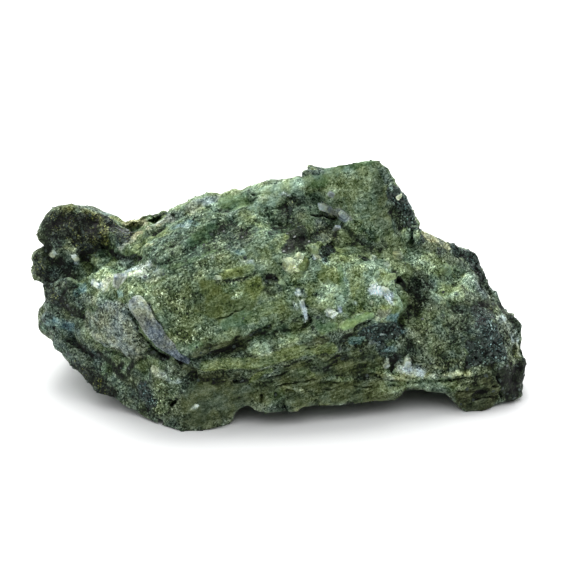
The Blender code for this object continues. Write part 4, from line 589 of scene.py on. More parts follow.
# Cracks cut into the skin, and swells, whose depth is below zero: half width, depth, points.
CRACKS = {
    "long groove fill": (1.3, -0.8, [(-14.5, -20.4, 15), (-10.8, -19.3, 16.2), (-7.3, -18.1, 17.1), (-3.7, -17, 18.2), (-0.2, -16, 18.7), (3.4, -15.2, 18.5)]),
    "long groove": (0.2, 0.4, [(-7.2, -18.5, 16.9), (-3.3, -17.7, 17.4), (-0.1, -17, 18.7), (2.8, -16.3, 19.1)]),
    "long groove, second line": (0.16, 0.3, [(-15.6, -21.2, 14), (-12.4, -20.3, 15.2), (-9.3, -19.7, 16.2)]),
    "groove pit": (0.3, 0.6, [(-8.3, -20, 8.7), (-6.4, -19.1, 8.2)]),
    "lower crack": (0.16, 0.5, [(-2.2, -19, 8.6), (-0.4, -18.8, 9.3), (1.4, -18.7, 9.9)]),
    "ledge edge crack": (0.18, 0.35, [(4, -19.7, 14.7), (6.7, -18.8, 14.8), (8.8, -17.8, 14.9)]),
    "long face crack": (0.14, 0.3, [(-11.7, -18.3, 19.7), (-8.6, -17.3, 20.8), (-5.4, -16.5, 22.1), (-3.3, -15.9, 22.3)]),
    "corner crack": (0.28, 0.7, [(-16.5, -20.4, 8.4), (-18.2, -20.4, 5.9), (-20.2, -19.6, 3.2)]),
    "blade shadow": (0.3, 0.5, [(-27.1, -16.1, 21), (-25.6, -17.1, 18.9), (-24.9, -15.8, 15.4), (-23.2, -16.7, 13.7), (-20.5, -18.3, 12.7), (-17.8, -20.1, 12.7)]),
    "left point swell": (2.6, -0.6, [(-46, 1, 22)]),
    "left lobe swell": (3.2, -0.8, [(-45, -3, 15), (-44, -5, 11)]),
    "top edge swell": (3.0, -0.4, [(-4, 0.5, 37), (3, 0.5, 38.5)]),
    "top edge dip": (3.4, 1.6, [(-28, 4, 31.2), (-24, 3.4, 32.6)]),
    "top edge rise": (2.4, -0.6, [(-20, 1.8, 33.6), (-14.4, 1, 35), (-8.4, -0.6, 36)]),
    "crown side swell": (2.6, -0.6, [(22.4, 0, 37.8), (24.6, 0.6, 34)]),
    "shoulder dip": (3.0, 0.5, [(36.8, -0.6, 24), (40.4, -2.6, 20.6)]),
    "top edge dip, left": (2.4, 0.7, [(-26, 5, 29.6), (-24.4, 5.8, 29.7)]),
    "right edge dip": (2.8, 0.6, [(38.9, -1.8, 20.9), (40, -2.7, 18.8)]),
    "right end dip": (5.0, 0.65, [(47, -6, 13), (47.4, -8, 8), (47, -9, 4)]),
    "saddle crack": (0.3, 0.35, [(-33.5, 0.9, 25.4), (-31.2, -1.2, 25.1), (-28.5, -4.1, 25.6), (-25.5, -7.1, 26.9)]),
    "rib": (0.5, -0.35, [(-10, -13.9, 27.2), (-7.5, -13.6, 27.7), (-5, -13, 28)]),
    "rib underside": (0.2, 0.2, [(-8.9, -14.5, 25.9), (-6.5, -14.1, 26.1), (-4.3, -13.9, 27.2)]),
    "dark break": (0.4, 0.35, [(-2.4, -13.9, 26), (-0.8, -13.8, 26)]),
    "vein edge": (0.22, 0.45, [(3.5, -15, 23), (4.7, -16, 21.1), (5.1, -15.5, 18.5)]),
    "pit crack": (0.35, 0.7, [(20.3, -8.4, 25.1), (21.3, -7.8, 23.2), (22.6, -5.7, 21)]),
    "hollow crack": (0.25, 0.5, [(5.7, -3.5, 33.9), (8, -1.7, 33.3), (10.2, -1.8, 32.4)]),
    "round crystal pit": (0.22, 0.6, [(-3.6, -19.3, 16)]),
    "bar": (0.7, -0.7, [(10.9, -18.4, 18.1), (12.7, -17.7, 19), (14.5, -16.5, 19.4), (16.3, -16.1, 20)]),
    "bar underside": (0.3, 0.5, [(11.7, -16.9, 16.6), (13.8, -17, 17.9), (16, -16.1, 18.6)]),
    "ledge lip": (0.5, -0.4, [(20.3, -15.6, 7.1), (21.8, -15.4, 6.8), (23.7, -15.5, 6.6), (25.4, -16.1, 7.2), (27.4, -14.9, 6.7), (29.2, -15.2, 6.9), (31, -14.9, 7), (33, -15.2, 7.3), (34.9, -15.5, 7.5)]),
    "under the ledge": (0.25, 0.3, [(16, -15.4, 7.6), (17.4, -15.6, 7.3), (18.9, -15.7, 7), (20.3, -15.9, 6.4), (21.9, -15.4, 6), (23.7, -15.6, 5.9), (25.5, -15.2, 5.9), (27.4, -15.1, 6), (29.2, -15.2, 6.1), (31, -15.1, 6.2), (33, -15, 6.4), (35.1, -14.8, 6.3)]),
    "between the feet": (0.3, 0.9, [(40, -13.7, 6.1), (40.6, -13.4, 1.2)]),
    "scar one": (0.25, 0.15, [(-28.9, -14.2, 9.2), (-30, -13.6, 7.5), (-29.4, -14.7, 6.4)]),
    "scar two": (0.3, 0.2, [(-26.6, -15.4, 10.1), (-27.9, -14.1, 7.6), (-28.2, -15.3, 6.3)]),
    "dark diagonal": (0.25, 0.2, [(-40.8, -4.5, 17.2), (-38.7, -6.8, 15.8), (-36.2, -8.6, 15.5)]),
    "notch one": (0.5, 1.4, [(-3.4, -20.2, 5.6), (-3.2, -20.2, 3.4)]),
    "notch two": (0.4, 1.2, [(0.4, -20.9, 5), (0.7, -20.6, 3)]),
    "notch three": (0.5, 1.0, [(6.6, -20, 4.2), (6.9, -19.6, 2.4)]),
    "notch four": (0.5, 1.2, [(12.6, -18.6, 3.4), (13, -18.2, 1.8)]),
    "left bottom notch": (0.5, 0.4, [(-31.5, -13.6, 8), (-31, -13, 5)]),
    "left bottom notch two": (0.5, 0.4, [(-37.5, -9.4, 9), (-37, -9, 6)]),
    "slab layer one": (0.18, 0.4, [(-1, -19.2, 7), (8, -18, 8.2), (17, -16.6, 7.6)]),
    "slab layer two": (0.18, 0.4, [(2, -19.3, 5.6), (11, -17.9, 6.4), (22, -16.2, 5.4)]),
    "slab layer three": (0.15, 0.35, [(4, -18.6, 10.4), (12, -16.9, 10), (18, -16, 8.9)]),
    "slab layer four": (0.15, 0.35, [(-6, -20.2, 6.4), (0, -19.8, 7.6), (6, -18.6, 8.8)]),
    "foot layer one": (0.15, 0.3, [(31.5, -16.2, 4.4), (36, -15.6, 4.2), (39.6, -14.4, 4.4)]),
    "foot layer two": (0.15, 0.3, [(32, -16.2, 2.2), (36, -15.6, 2.4), (39.6, -14.4, 2.2)]),
    "second lower crack": (0.16, 0.4, [(0.6, -18.9, 11), (3.1, -18.6, 11.9), (4.6, -18.3, 12.1)]),
    "right of the blade": (0.15, 0.35, [(-23.6, -16.8, 22.7), (-22.2, -18.5, 21.2), (-20.5, -19.5, 18.9)]),
    "slit": (0.22, 0.5, [(0.5, -12.2, 28.4), (1.7, -9.3, 28.7), (3, -10.5, 30.4)]),
    "slab bottom": (0.16, 0.35, [(0.5, -19.2, 6.5), (3.5, -19.2, 5.9)]),
}

# Odd numbers that scatter the heights of the broken faces.
FACE_SCATTER = (12.99, 78.23, 37.72)


def noise_over(places):
    """One smooth noise value, about -1 to 1, for each row of places."""
    return np.fromiter((noise.noise(p) for p in places), float, len(places))


def wander(places, size, reach):
    """The places moved about by smooth noise, so that a line drawn through them is ragged."""
    moved = np.array([noise.noise_vector(p) for p in places / size])
    return places + reach * moved


def scattered(corners):
    """A random number from 0 to 1 for each row of whole numbers."""
    number = np.sin(corners @ np.array(FACE_SCATTER)) * 4375.85
    return number - np.floor(number)


def flat_faces(places, size, seed):
    """For a surface broken into flat faces of that size: height from -0.5 to 0.5, and a number for each face."""
    turn = np.array(Euler((seed, 2 * seed, 3 * seed)).to_matrix())
    where = places / size @ turn + seed
    corner = np.floor(where)
    share = where - corner
    order = np.argsort(-share, axis=1)
    fall = -np.sort(-share, axis=1)
    face = scattered(corner + 0.37 * order)
    height = (1 - fall[:, 0]) * scattered(corner)
    rows = np.arange(len(places))
    for step in range(3):
        corner[rows, order[:, step]] += 1
        height += (fall[:, step] - (fall[:, step + 1] if step < 2 else 0)) * scattered(corner)
    return height - 0.5, face


def distance_to_path(places, path):
    """Distance from each place to the nearest point of a line drawn through the path's points."""
    path = np.array(path, float)
    if len(path) == 1:
        return np.linalg.norm(places - path[0], axis=1)
    nearest = np.full(len(places), np.inf)
    for start, end in zip(path[:-1], path[1:]):
        run = end - start
        share = np.clip((places - start) @ run / (run @ run), 0, 1)
        gap = np.linalg.norm(places - start - share[:, None] * run, axis=1)
        nearest = np.minimum(nearest, gap)
    return nearest


def soft_step(value):
    value = np.clip(value, 0, 1)
    return value * value * (3 - 2 * value)


def lay_minerals(places):
    """Colour, the five finishes and the specks' colour at each place: three, five and three columns."""
    ragged = wander(wander(places, 4.5, 1.6), 1.3, 0.7)
    neat = wander(places, 1.3, 0.45)
    patchy = noise_over(ragged / 2.4 + 7) + 0.8 * noise_over(ragged / 0.9 + 3)
    first = MINERALS["grey green schist"]
    coat = np.tile(np.concatenate([np.array(first[0]) / 255, first[1:], (1, 1, 1)]), (len(places), 1))
    for number, (mineral, reach, strength, broken, points) in enumerate(COATS):
        colour, *finish = MINERALS[mineral]
        edge = 0.2 * reach + 0.15
        gap = distance_to_path(ragged if reach > 2.5 else neat, points)
        cover = strength * soft_step((reach - gap) / edge + 0.5)
        turned = patchy if number % 2 else -patchy
        cover *= 1 - broken + broken * soft_step((turned + 0.15) / 0.3)
        look = np.concatenate([np.array(colour) / 255, finish, SPECKS.get(mineral, (1, 1, 1))])
        coat += cover[:, None] * (look - coat)
    return coat


def read_mesh(mesh):
    """Places and outward directions of the mesh's points, in millimetres."""
    places = np.empty(len(mesh.vertices) * 3)
    mesh.vertices.foreach_get("co", places)
    outward = np.array([v.normal[:] for v in mesh.vertices])
    return places.reshape(-1, 3) / MM, outward


def finish_modifiers(piece):
    """Replaces the piece's mesh by what its modifiers make of it."""
    graph = bpy.context.evaluated_depsgraph_get()
    mesh = bpy.data.meshes.new_from_object(piece.evaluated_get(graph))
    piece.modifiers.clear()
    piece.data = mesh


def hull_only(form, vertices):
    """Wraps the vertices in a closed flat-sided hull, and removes all that it doesn't use."""
    hull = bmesh.ops.convex_hull(form, input=vertices)
    spare = set(hull["geom_interior"]) | set(hull["geom_unused"])
    bmesh.ops.delete(form, geom=[item for item in spare if isinstance(item, bmesh.types.BMVert)], context="VERTS")


def drop_crumbs(piece):
    """Keeps only the largest closed skin of the piece, without the crumbs beside it."""
    form = bmesh.new()
    form.from_mesh(piece.data)
    left = set(form.verts)
    skins = []
    while left:
        waiting = [left.pop()]
        skin = []
        while waiting:
            vertex = waiting.pop()
            skin.append(vertex)
            near = {edge.other_vert(vertex) for edge in vertex.link_edges} & left
            left -= near
            waiting.extend(near)
        skins.append(skin)
    skins.sort(key=len)
    for crumb in skins[:-1]:
        bmesh.ops.delete(form, geom=crumb, context="VERTS")
    form.to_mesh(piece.data)
    form.free()


form = bmesh.new()
form.from_mesh(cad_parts["rough_emerald"].data)
bmesh.ops.remove_doubles(form, verts=form.verts, dist=1e-6)
for points in FILLINGS.values():
    hull_only(form, [form.verts.new(Vector(point) * MM) for point in points])
stone = new_piece("broken_stone", form)
skin = stone.modifiers.new("fine skin", "REMESH")
skin.mode = "VOXEL"
skin.voxel_size = SKIN_GRID * MM
finish_modifiers(stone)

places, outward = read_mesh(stone.data)
coat = lay_minerals(places)
lined, blocky = coat[:, 3], coat[:, 4]
along = places @ np.array(TO_CRYSTAL)

# growth lines and low steps along the crystal
coarse_lines = noise_over(along / (16, 1.6, 1.6))
fine_lines = noise_over(along / (7, 0.6, 0.6) + 40)
steps = noise_over(along / (11, 3.5, 3.5) + 80) * 5
steps = (np.floor(steps) + soft_step((steps - np.floor(steps) - 0.75) / 0.25)) / 5
lift = lined * (0.12 * coarse_lines + 0.12 * fine_lines + 0.3 * steps)

# faces broken flat, from large to small, and longer ones along the crystal
stirred = wander(places, 5.0, 0.8)
stirred_along = wander(along, 5.0, 0.5)
for size, drop, least in ((5.5, 2.0, 0.12), (2.6, 0.6, 0.12), (1.2, 0.26, 0.25), (0.6, 0.1, 0.5)):
    lift += drop * (least + (1 - least) * blocky) * flat_faces(stirred, size, size)[0]
for size, drop in ((2.6, 0.4), (1.0, 0.22)):
    lift += drop * lined * flat_faces(stirred_along / (4, 1, 1), size, size)[0]

ragged = wander(places, 1.6, 0.35)
uneven = 1 + 0.9 * noise_over(places / 1.7 + 91)
for half_width, depth, points in CRACKS.values():
    gap = distance_to_path(ragged, points)
    lift -= depth * uneven * soft_step(1.5 - gap / half_width)

# the far side is worn, and the feet stay flat on the table
lift *= 1 - 0.5 * soft_step(places[:, 1] / 14)
lift *= soft_step(places[:, 2] / 1.2)
places += lift[:, None] * outward
places[:, 2] = np.maximum(places[:, 2], 0)
stone.data.vertices.foreach_set("co", (places * MM).ravel())
stone.data.update()

full_count = sum(len(face.vertices) - 2 for face in stone.data.polygons)
thin = stone.modifiers.new("thin out", "DECIMATE")
thin.ratio = min(1, MOST_TRIANGLES / full_count)
finish_modifiers(stone)
drop_crumbs(stone)
for face in stone.data.polygons:
    face.use_smooth = True
stone.data.set_sharp_from_angle(angle=math.radians(14))
stone.data.materials.clear()

# Colours of the stone
# Beryl from pale to olive green, dark schist and mica, and small quartz grains lie side
# by side in the stone. Hollows are darkened with painted shade, and edges are chipped pale.
places, outward = read_mesh(stone.data)
coat = lay_minerals(places)
ends = np.empty(len(stone.data.edges) * 2, int)
stone.data.edges.foreach_get("vertices", ends)
ends = ends.reshape(-1, 2)
neighbours = np.bincount(ends.ravel(), minlength=len(places))


def smoothed(values, rounds):
    """The values averaged with their neighbours' along the mesh."""
    for _ in range(rounds):
        total = np.zeros_like(values)
        for column in range(values.shape[1]):
            total[:, column] = np.bincount(ends[:, 0], values[ends[:, 1], column], len(places))
            total[:, column] += np.bincount(ends[:, 1], values[ends[:, 0], column], len(places))
        values = 0.5 * values + 0.5 * total / neighbours[:, None]
    return values


STONE_TONE = (0.80, 0.85, 0.77, 1)
# how deep each point lies in a hollow, small and wide, for the painted shade in hollows
near_mean = smoothed(places, 6)
wide_mean = smoothed(near_mean, 40)
small_hollow = np.einsum("ij,ij->i", near_mean - places, outward)
wide_hollow = np.einsum("ij,ij->i", wide_mean - places, outward)
depth = small_hollow / 0.2 + wide_hollow / 0.5
stone_colour = coat[:, :3]
for size, change in ((2.4, 0.03), (1.15, 0.05), (0.6, 0.07)):
    level = flat_faces(wander(places, 5.0, 0.8), size, size)[1]
    stone_colour = stone_colour + (coat[:, 5] * change * (level - 0.5))[:, None]


def store(piece, name, values):
    """Keeps colour-like values on the mesh's points for the material to read."""
    layer = piece.data.attributes.new(name, "FLOAT_COLOR", "POINT")
    values = np.column_stack([values, np.ones((len(values), 4 - values.shape[1]))])
    layer.data.foreach_set("color", values.ravel())


store(stone, "mineral", stone_colour)
store(stone, "finish", coat[:, [3, 5, 6]])
store(stone, "specks", coat[:, 8:])
# hollowness, for the painted shade in hollows and the pale edges; polish; loose blocks
store(stone, "shape", np.column_stack([np.clip(depth * 0.5 + 0.5, 0, 1), coat[:, 7], coat[:, 4]]))


def node(tree, kind, links=None, **settings):
    """Adds a shader node, sets its properties, and fills or links its inputs."""
    made = tree.nodes.new(kind)
    for key, value in settings.items():
        setattr(made, key, value)
    for key, value in (links or {}).items():
        if isinstance(value, bpy.types.NodeSocket):
            tree.links.new(value, made.inputs[key])
        else:
            made.inputs[key].default_value = value
    return made


def combine(tree, operation, first, second):
    return node(tree, "ShaderNodeMath", {0: first, 1: second}, operation=operation).outputs[0]


def between(tree, value, low, high, start=0, end=1):
    """Maps low to high onto start to end, smoothly, and holds beyond them."""
    links = {"Value": value, "From Min": low, "From Max": high, "To Min": start, "To Max": end}
    return node(tree, "ShaderNodeMapRange", links, interpolation_type="SMOOTHSTEP").outputs[0]


def mixed(tree, share, first, second, blend="MIX"):
    """Two colours mixed by a share."""
    made = node(tree, "ShaderNodeMix", data_type="RGBA", blend_type=blend)
    for index, value in ((0, share), (6, first), (7, second)):
        if isinstance(value, bpy.types.NodeSocket):
            tree.links.new(value, made.inputs[index])
        else:
            made.inputs[index].default_value = value
    return made.outputs[2]


rock = bpy.data.materials.new("emerald_in_schist")
rock.use_nodes = True
tree = rock.node_tree
shader = tree.nodes["Principled BSDF"]
shader.inputs["Specular IOR Level"].default_value = 0.2
place = node(tree, "ShaderNodeTexCoord").outputs["Object"]
streak_place = node(
    tree, "ShaderNodeMapping", {"Vector": place, "Rotation": TO_CRYSTAL.to_euler(), "Scale": (9, 1, 1)},
    vector_type="TEXTURE",
).outputs[0]
mineral = node(tree, "ShaderNodeAttribute", attribute_name="mineral").outputs["Color"]
finish = node(tree, "ShaderNodeAttribute", attribute_name="finish").outputs["Color"]
shape = node(tree, "ShaderNodeAttribute", attribute_name="shape").outputs["Color"]
finish = node(tree, "ShaderNodeSeparateColor", {"Color": finish}).outputs
shape = node(tree, "ShaderNodeSeparateColor", {"Color": shape}).outputs


def noise_texture(tree, where, scale, detail=3, roughness=0.6):
    links = {"Vector": where, "Scale": scale, "Detail": detail, "Roughness": roughness}
    return node(tree, "ShaderNodeTexNoise", links)


def grain_texture(tree, where, scale):
    """A random colour for each grain of the stone."""
    colour = node(tree, "ShaderNodeTexVoronoi", {"Vector": where, "Scale": scale}).outputs["Color"]
    return colour, node(tree, "ShaderNodeSeparateColor", {"Color": colour}).outputs


def vector(tree, operation, first, second=(0, 0, 0)):
    """A vector sum; SCALE takes a plain number as its second value."""
    second_input = 3 if operation == "SCALE" else 1
    return node(tree, "ShaderNodeVectorMath", {0: first, second_input: second}, operation=operation).outputs[0]


# the grains are stirred a little, so that none is a plain cell
stir = noise_texture(tree, place, 1400, 2).outputs["Color"]
stirred = vector(tree, "ADD", place, vector(tree, "SCALE", vector(tree, "SUBTRACT", stir, (0.5, 0.5, 0.5)), 0.6 * MM))
streak_stirred = vector(tree, "ADD", streak_place, vector(tree, "SCALE", vector(tree, "SUBTRACT", stir, (0.5, 0.5, 0.5)), 0.4 * MM))
small_tint, small_grain = grain_texture(tree, stirred, 3300)
dust_grain = grain_texture(tree, stirred, 5600)[1]
large_tint, large_grain = grain_texture(tree, stirred, 1300)
block_tint, block_grain = grain_texture(tree, stirred, 430)
long_tint, long_grain = grain_texture(tree, streak_stirred, 1700)
mottle = noise_texture(tree, place, 2700, 4, 0.7).outputs[0]
patches = noise_texture(tree, place, 420, 3, 0.6).outputs[0]
streaks = noise_texture(tree, streak_place, 3600, 4, 0.65).outputs[0]
broad_streaks = noise_texture(tree, streak_place, 1100, 3, 0.6).outputs[0]


def crack_lines(tree, where, scale, width):
    """One along the borders of the blocks of that scale, zero elsewhere."""
    links = {"Vector": where, "Scale": scale}
    gap = node(tree, "ShaderNodeTexVoronoi", links, feature="DISTANCE_TO_EDGE").outputs["Distance"]
    return between(tree, gap, width, width / 4)


# lighter and darker grains, added to the colour as it is seen, so that pale ones look whiter
def summed(tree, *terms):
    total = terms[0]
    for term in terms[1:]:
        total = combine(tree, "ADD", total, term)
    return total


def scaled(tree, *factors):
    product = factors[0]
    for factor in factors[1:]:
        product = combine(tree, "MULTIPLY", product, factor)
    return product


lines, contrast, paleness = finish[0], finish[1], finish[2]
hollowness, polish, blocks = shape[0], shape[1], shape[2]
grain_tone = summed(
    tree,
    between(tree, small_grain[0], 0, 1, -0.13, 0.13),
    between(tree, dust_grain[0], 0, 1, -0.09, 0.09),
    between(tree, large_grain[0], 0, 1, -0.05, 0.05),
    between(tree, mottle, 0.35, 0.65, -0.06, 0.06),
    scaled(tree, between(tree, small_grain[1], 0.3, 0.1, 0, -0.2), between(tree, mottle, 0.6, 0.42)),
)
streak_tone = summed(
    tree,
    between(tree, streaks, 0.36, 0.64, -0.11, 0.09),
    between(tree, broad_streaks, 0.36, 0.64, -0.07, 0.08),
    between(tree, long_grain[0], 0, 1, -0.05, 0.05),
)
cracks = summed(
    tree,
    scaled(tree, crack_lines(tree, stirred, 430, 0.08), between(tree, patches, 0.42, 0.56, 0, 0.2)),
    scaled(tree, crack_lines(tree, stirred, 1300, 0.1), between(tree, patches, 0.55, 0.45, 0, 0.12)),
)
# white specks: pale grains, and partly painted glints
pale_specks_and_glints = scaled(tree, between(tree, small_grain[2], 0.84, 0.92, 0, 0.32), between(tree, mottle, 0.42, 0.6), paleness)
fine_specks_and_glints = scaled(tree, between(tree, dust_grain[2], 0.87, 0.93, 0, 0.4), between(tree, patches, 0.42, 0.6), paleness)
tone = summed(
    tree,
    scaled(tree, grain_tone, contrast),
    scaled(tree, streak_tone, lines),
    scaled(tree, between(tree, block_grain[0], 0, 1, -0.07, 0.07), blocks),
    scaled(tree, between(tree, patches, 0.35, 0.65, -0.05, 0.05), contrast),
    scaled(tree, cracks, blocks, -1),
    # painted shade: darker in hollows; and lighter on chipped edges
    between(tree, hollowness, 0.62, 1, 0, -0.2),
    between(tree, hollowness, 0.4, 0.1, 0, 0.08),
)
olive_share = between(tree, noise_texture(tree, place, 260, 3, 0.6).outputs[0], 0.36, 0.64)
hue = mixed(tree, olive_share, (0.46, 0.49, 0.57, 1), (0.54, 0.51, 0.41, 1))
hue = vector(tree, "MULTIPLY", vector(tree, "SUBTRACT", hue, (0.5, 0.5, 0.5)), mineral)
specks = node(tree, "ShaderNodeAttribute", attribute_name="specks").outputs["Color"]
specks = vector(tree, "SCALE", specks, summed(tree, pale_specks_and_glints, fine_specks_and_glints))
colour = vector(tree, "ADD", vector(tree, "ADD", mineral, tone), vector(tree, "ADD", hue, specks))
colour = vector(tree, "MAXIMUM", colour, (0.02, 0.02, 0.02))
colour = node(tree, "ShaderNodeGamma", {"Color": colour, "Gamma": 2.2}).outputs[0]
colour = mixed(tree, 1.0, colour, STONE_TONE, "MULTIPLY")
tree.links.new(colour, shader.inputs["Base Color"])

gloss = summed(tree, scaled(tree, polish, 0.6), scaled(tree, large_grain[2], 0.5))
tree.links.new(between(tree, gloss, 0.1, 1, 0.85, 0.3), shader.inputs["Roughness"])
relief = summed(tree, mottle, scaled(tree, streaks, lines, 0.9), scaled(tree, cracks, blocks, -3))
bump = node(tree, "ShaderNodeBump", {"Height": relief, "Strength": 0.8, "Distance": 0.2 * MM}).outputs[0]


def tilted(tree, tint, amount):
    """Leans the surface one way over each grain, so that each is a flat side of its own."""
    lean = vector(tree, "SUBTRACT", tint, (0.5, 0.5, 0.5))
    made = node(tree, "ShaderNodeVectorMath", {0: lean, 3: amount}, operation="SCALE")
    return made.outputs[0]


facing = vector(tree, "ADD", bump, tilted(tree, small_tint, scaled(tree, contrast, 0.5)))
facing = vector(tree, "ADD", facing, tilted(tree, large_tint, summed(tree, scaled(tree, blocks, 0.5), scaled(tree, polish, 0.3))))
facing = vector(tree, "ADD", facing, tilted(tree, block_tint, scaled(tree, blocks, 0.9)))
facing = vector(tree, "ADD", facing, tilted(tree, long_tint, scaled(tree, lines, 0.6)))
tree.links.new(vector(tree, "NORMALIZE", facing), shader.inputs["Normal"])
stone.data.materials.append(rock)
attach(stone, "root")
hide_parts("rough_emerald")

# Quartz blade
# A smooth lilac grey blade of quartz lies down the left corner of the crystal, half
# buried in the rock. Its ends are broken and its top is milky.
BLADE_PATH = [(-26.1, -15.9, 22.7), (-25.5, -16.9, 22.2), (-24.2, -18, 20.7), (-22.8, -19.4, 18.9), (-21.2, -19.9, 16.8), (-19.5, -20.5, 15.7), (-17.8, -20.4, 14), (-16.2, -20.5, 12.9)]
BLADE_WIDTH = (2.7, 3.1, 3.3, 3.2, 2.9, 2.4, 1.8, 0.9)
BLADE_THICKNESS = 1.9
OUT_FROM_CORNER = Vector((-0.5, -0.78, 0.38))
BLADE_SINK = 0.1


def finish_grain(piece, colours, finish, polish, points_each=1):
    """Gives a small piece the stone's material: a colour for each grain, one finish for all."""
    colours = np.repeat(np.asarray(colours, float), points_each, axis=0)
    count = len(colours)
    store(piece, "mineral", colours)
    store(piece, "finish", np.tile(finish, (count, 1)))
    store(piece, "shape", np.tile((0.48, polish, 0), (count, 1)))
    store(piece, "specks", np.ones((count, 3)))
    piece.data.materials.append(rock)
    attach(piece, "root")


form = bmesh.new()
bmesh.ops.create_cube(form, size=2)
bmesh.ops.subdivide_edges(form, edges=form.edges, cuts=20, use_grid_fill=True)
path = np.array(BLADE_PATH)
for vertex in form.verts:
    along_blade, across, out = vertex.co
    ragged_end = 0.1 * noise.noise((across * 2, out * 2, along_blade * 3)) * abs(along_blade)
    share = np.clip((along_blade * (1 + ragged_end) + 1) / 2, 0, 1) * (len(path) - 1)
    centre = Vector([np.interp(share, range(len(path)), path[:, axis]) for axis in range(3)])
    start = path[min(int(share), len(path) - 2)]
    tangent = Vector(path[min(int(share), len(path) - 2) + 1] - start).normalized()
    side = tangent.cross(OUT_FROM_CORNER).normalized()
    upward = side.cross(tangent).normalized()
    half = 0.5 * np.interp(share, range(len(path)), BLADE_WIDTH)
    half *= 1 - 0.28 * max(out, 0) ** 2 + 0.1 * noise.noise((along_blade * 4, 5, across))
    groove = 0.1 * noise.noise((along_blade * 2.5, across * 5, 9)) + 0.08 * noise.noise((along_blade * 9, across * 9, 3))
    height = out * BLADE_THICKNESS / 2 * (1 - 0.25 * across ** 4) + groove * max(out, 0) * 1.6
    vertex.co = (centre + side * (across * half) + upward * (height - BLADE_SINK)) * MM
bmesh.ops.recalc_face_normals(form, faces=form.faces)
blade = new_piece("quartz_blade", form)
for face in blade.data.polygons:
    face.use_smooth = True
blade.data.set_sharp_from_angle(angle=math.radians(35))
blade_places = read_mesh(blade.data)[0]
milky = soft_step((blade_places[:, 2] - 20.6 + 3.5 * noise_over(blade_places / 1.6 + 6)) / 2.2)
lilac, milk = np.array((118, 126, 132)) / 255, np.array((176, 186, 184)) / 255
shade = 0.12 * noise_over(blade_places / (1.1, 1.1, 2.2) + 3) + 0.1 * noise_over(blade_places / 0.5)
blade_colour = lilac + milky[:, None] * (milk - lilac) + shade[:, None]
finish_grain(blade, blade_colour, (0.3, 0.8, 0.4), 0.6)

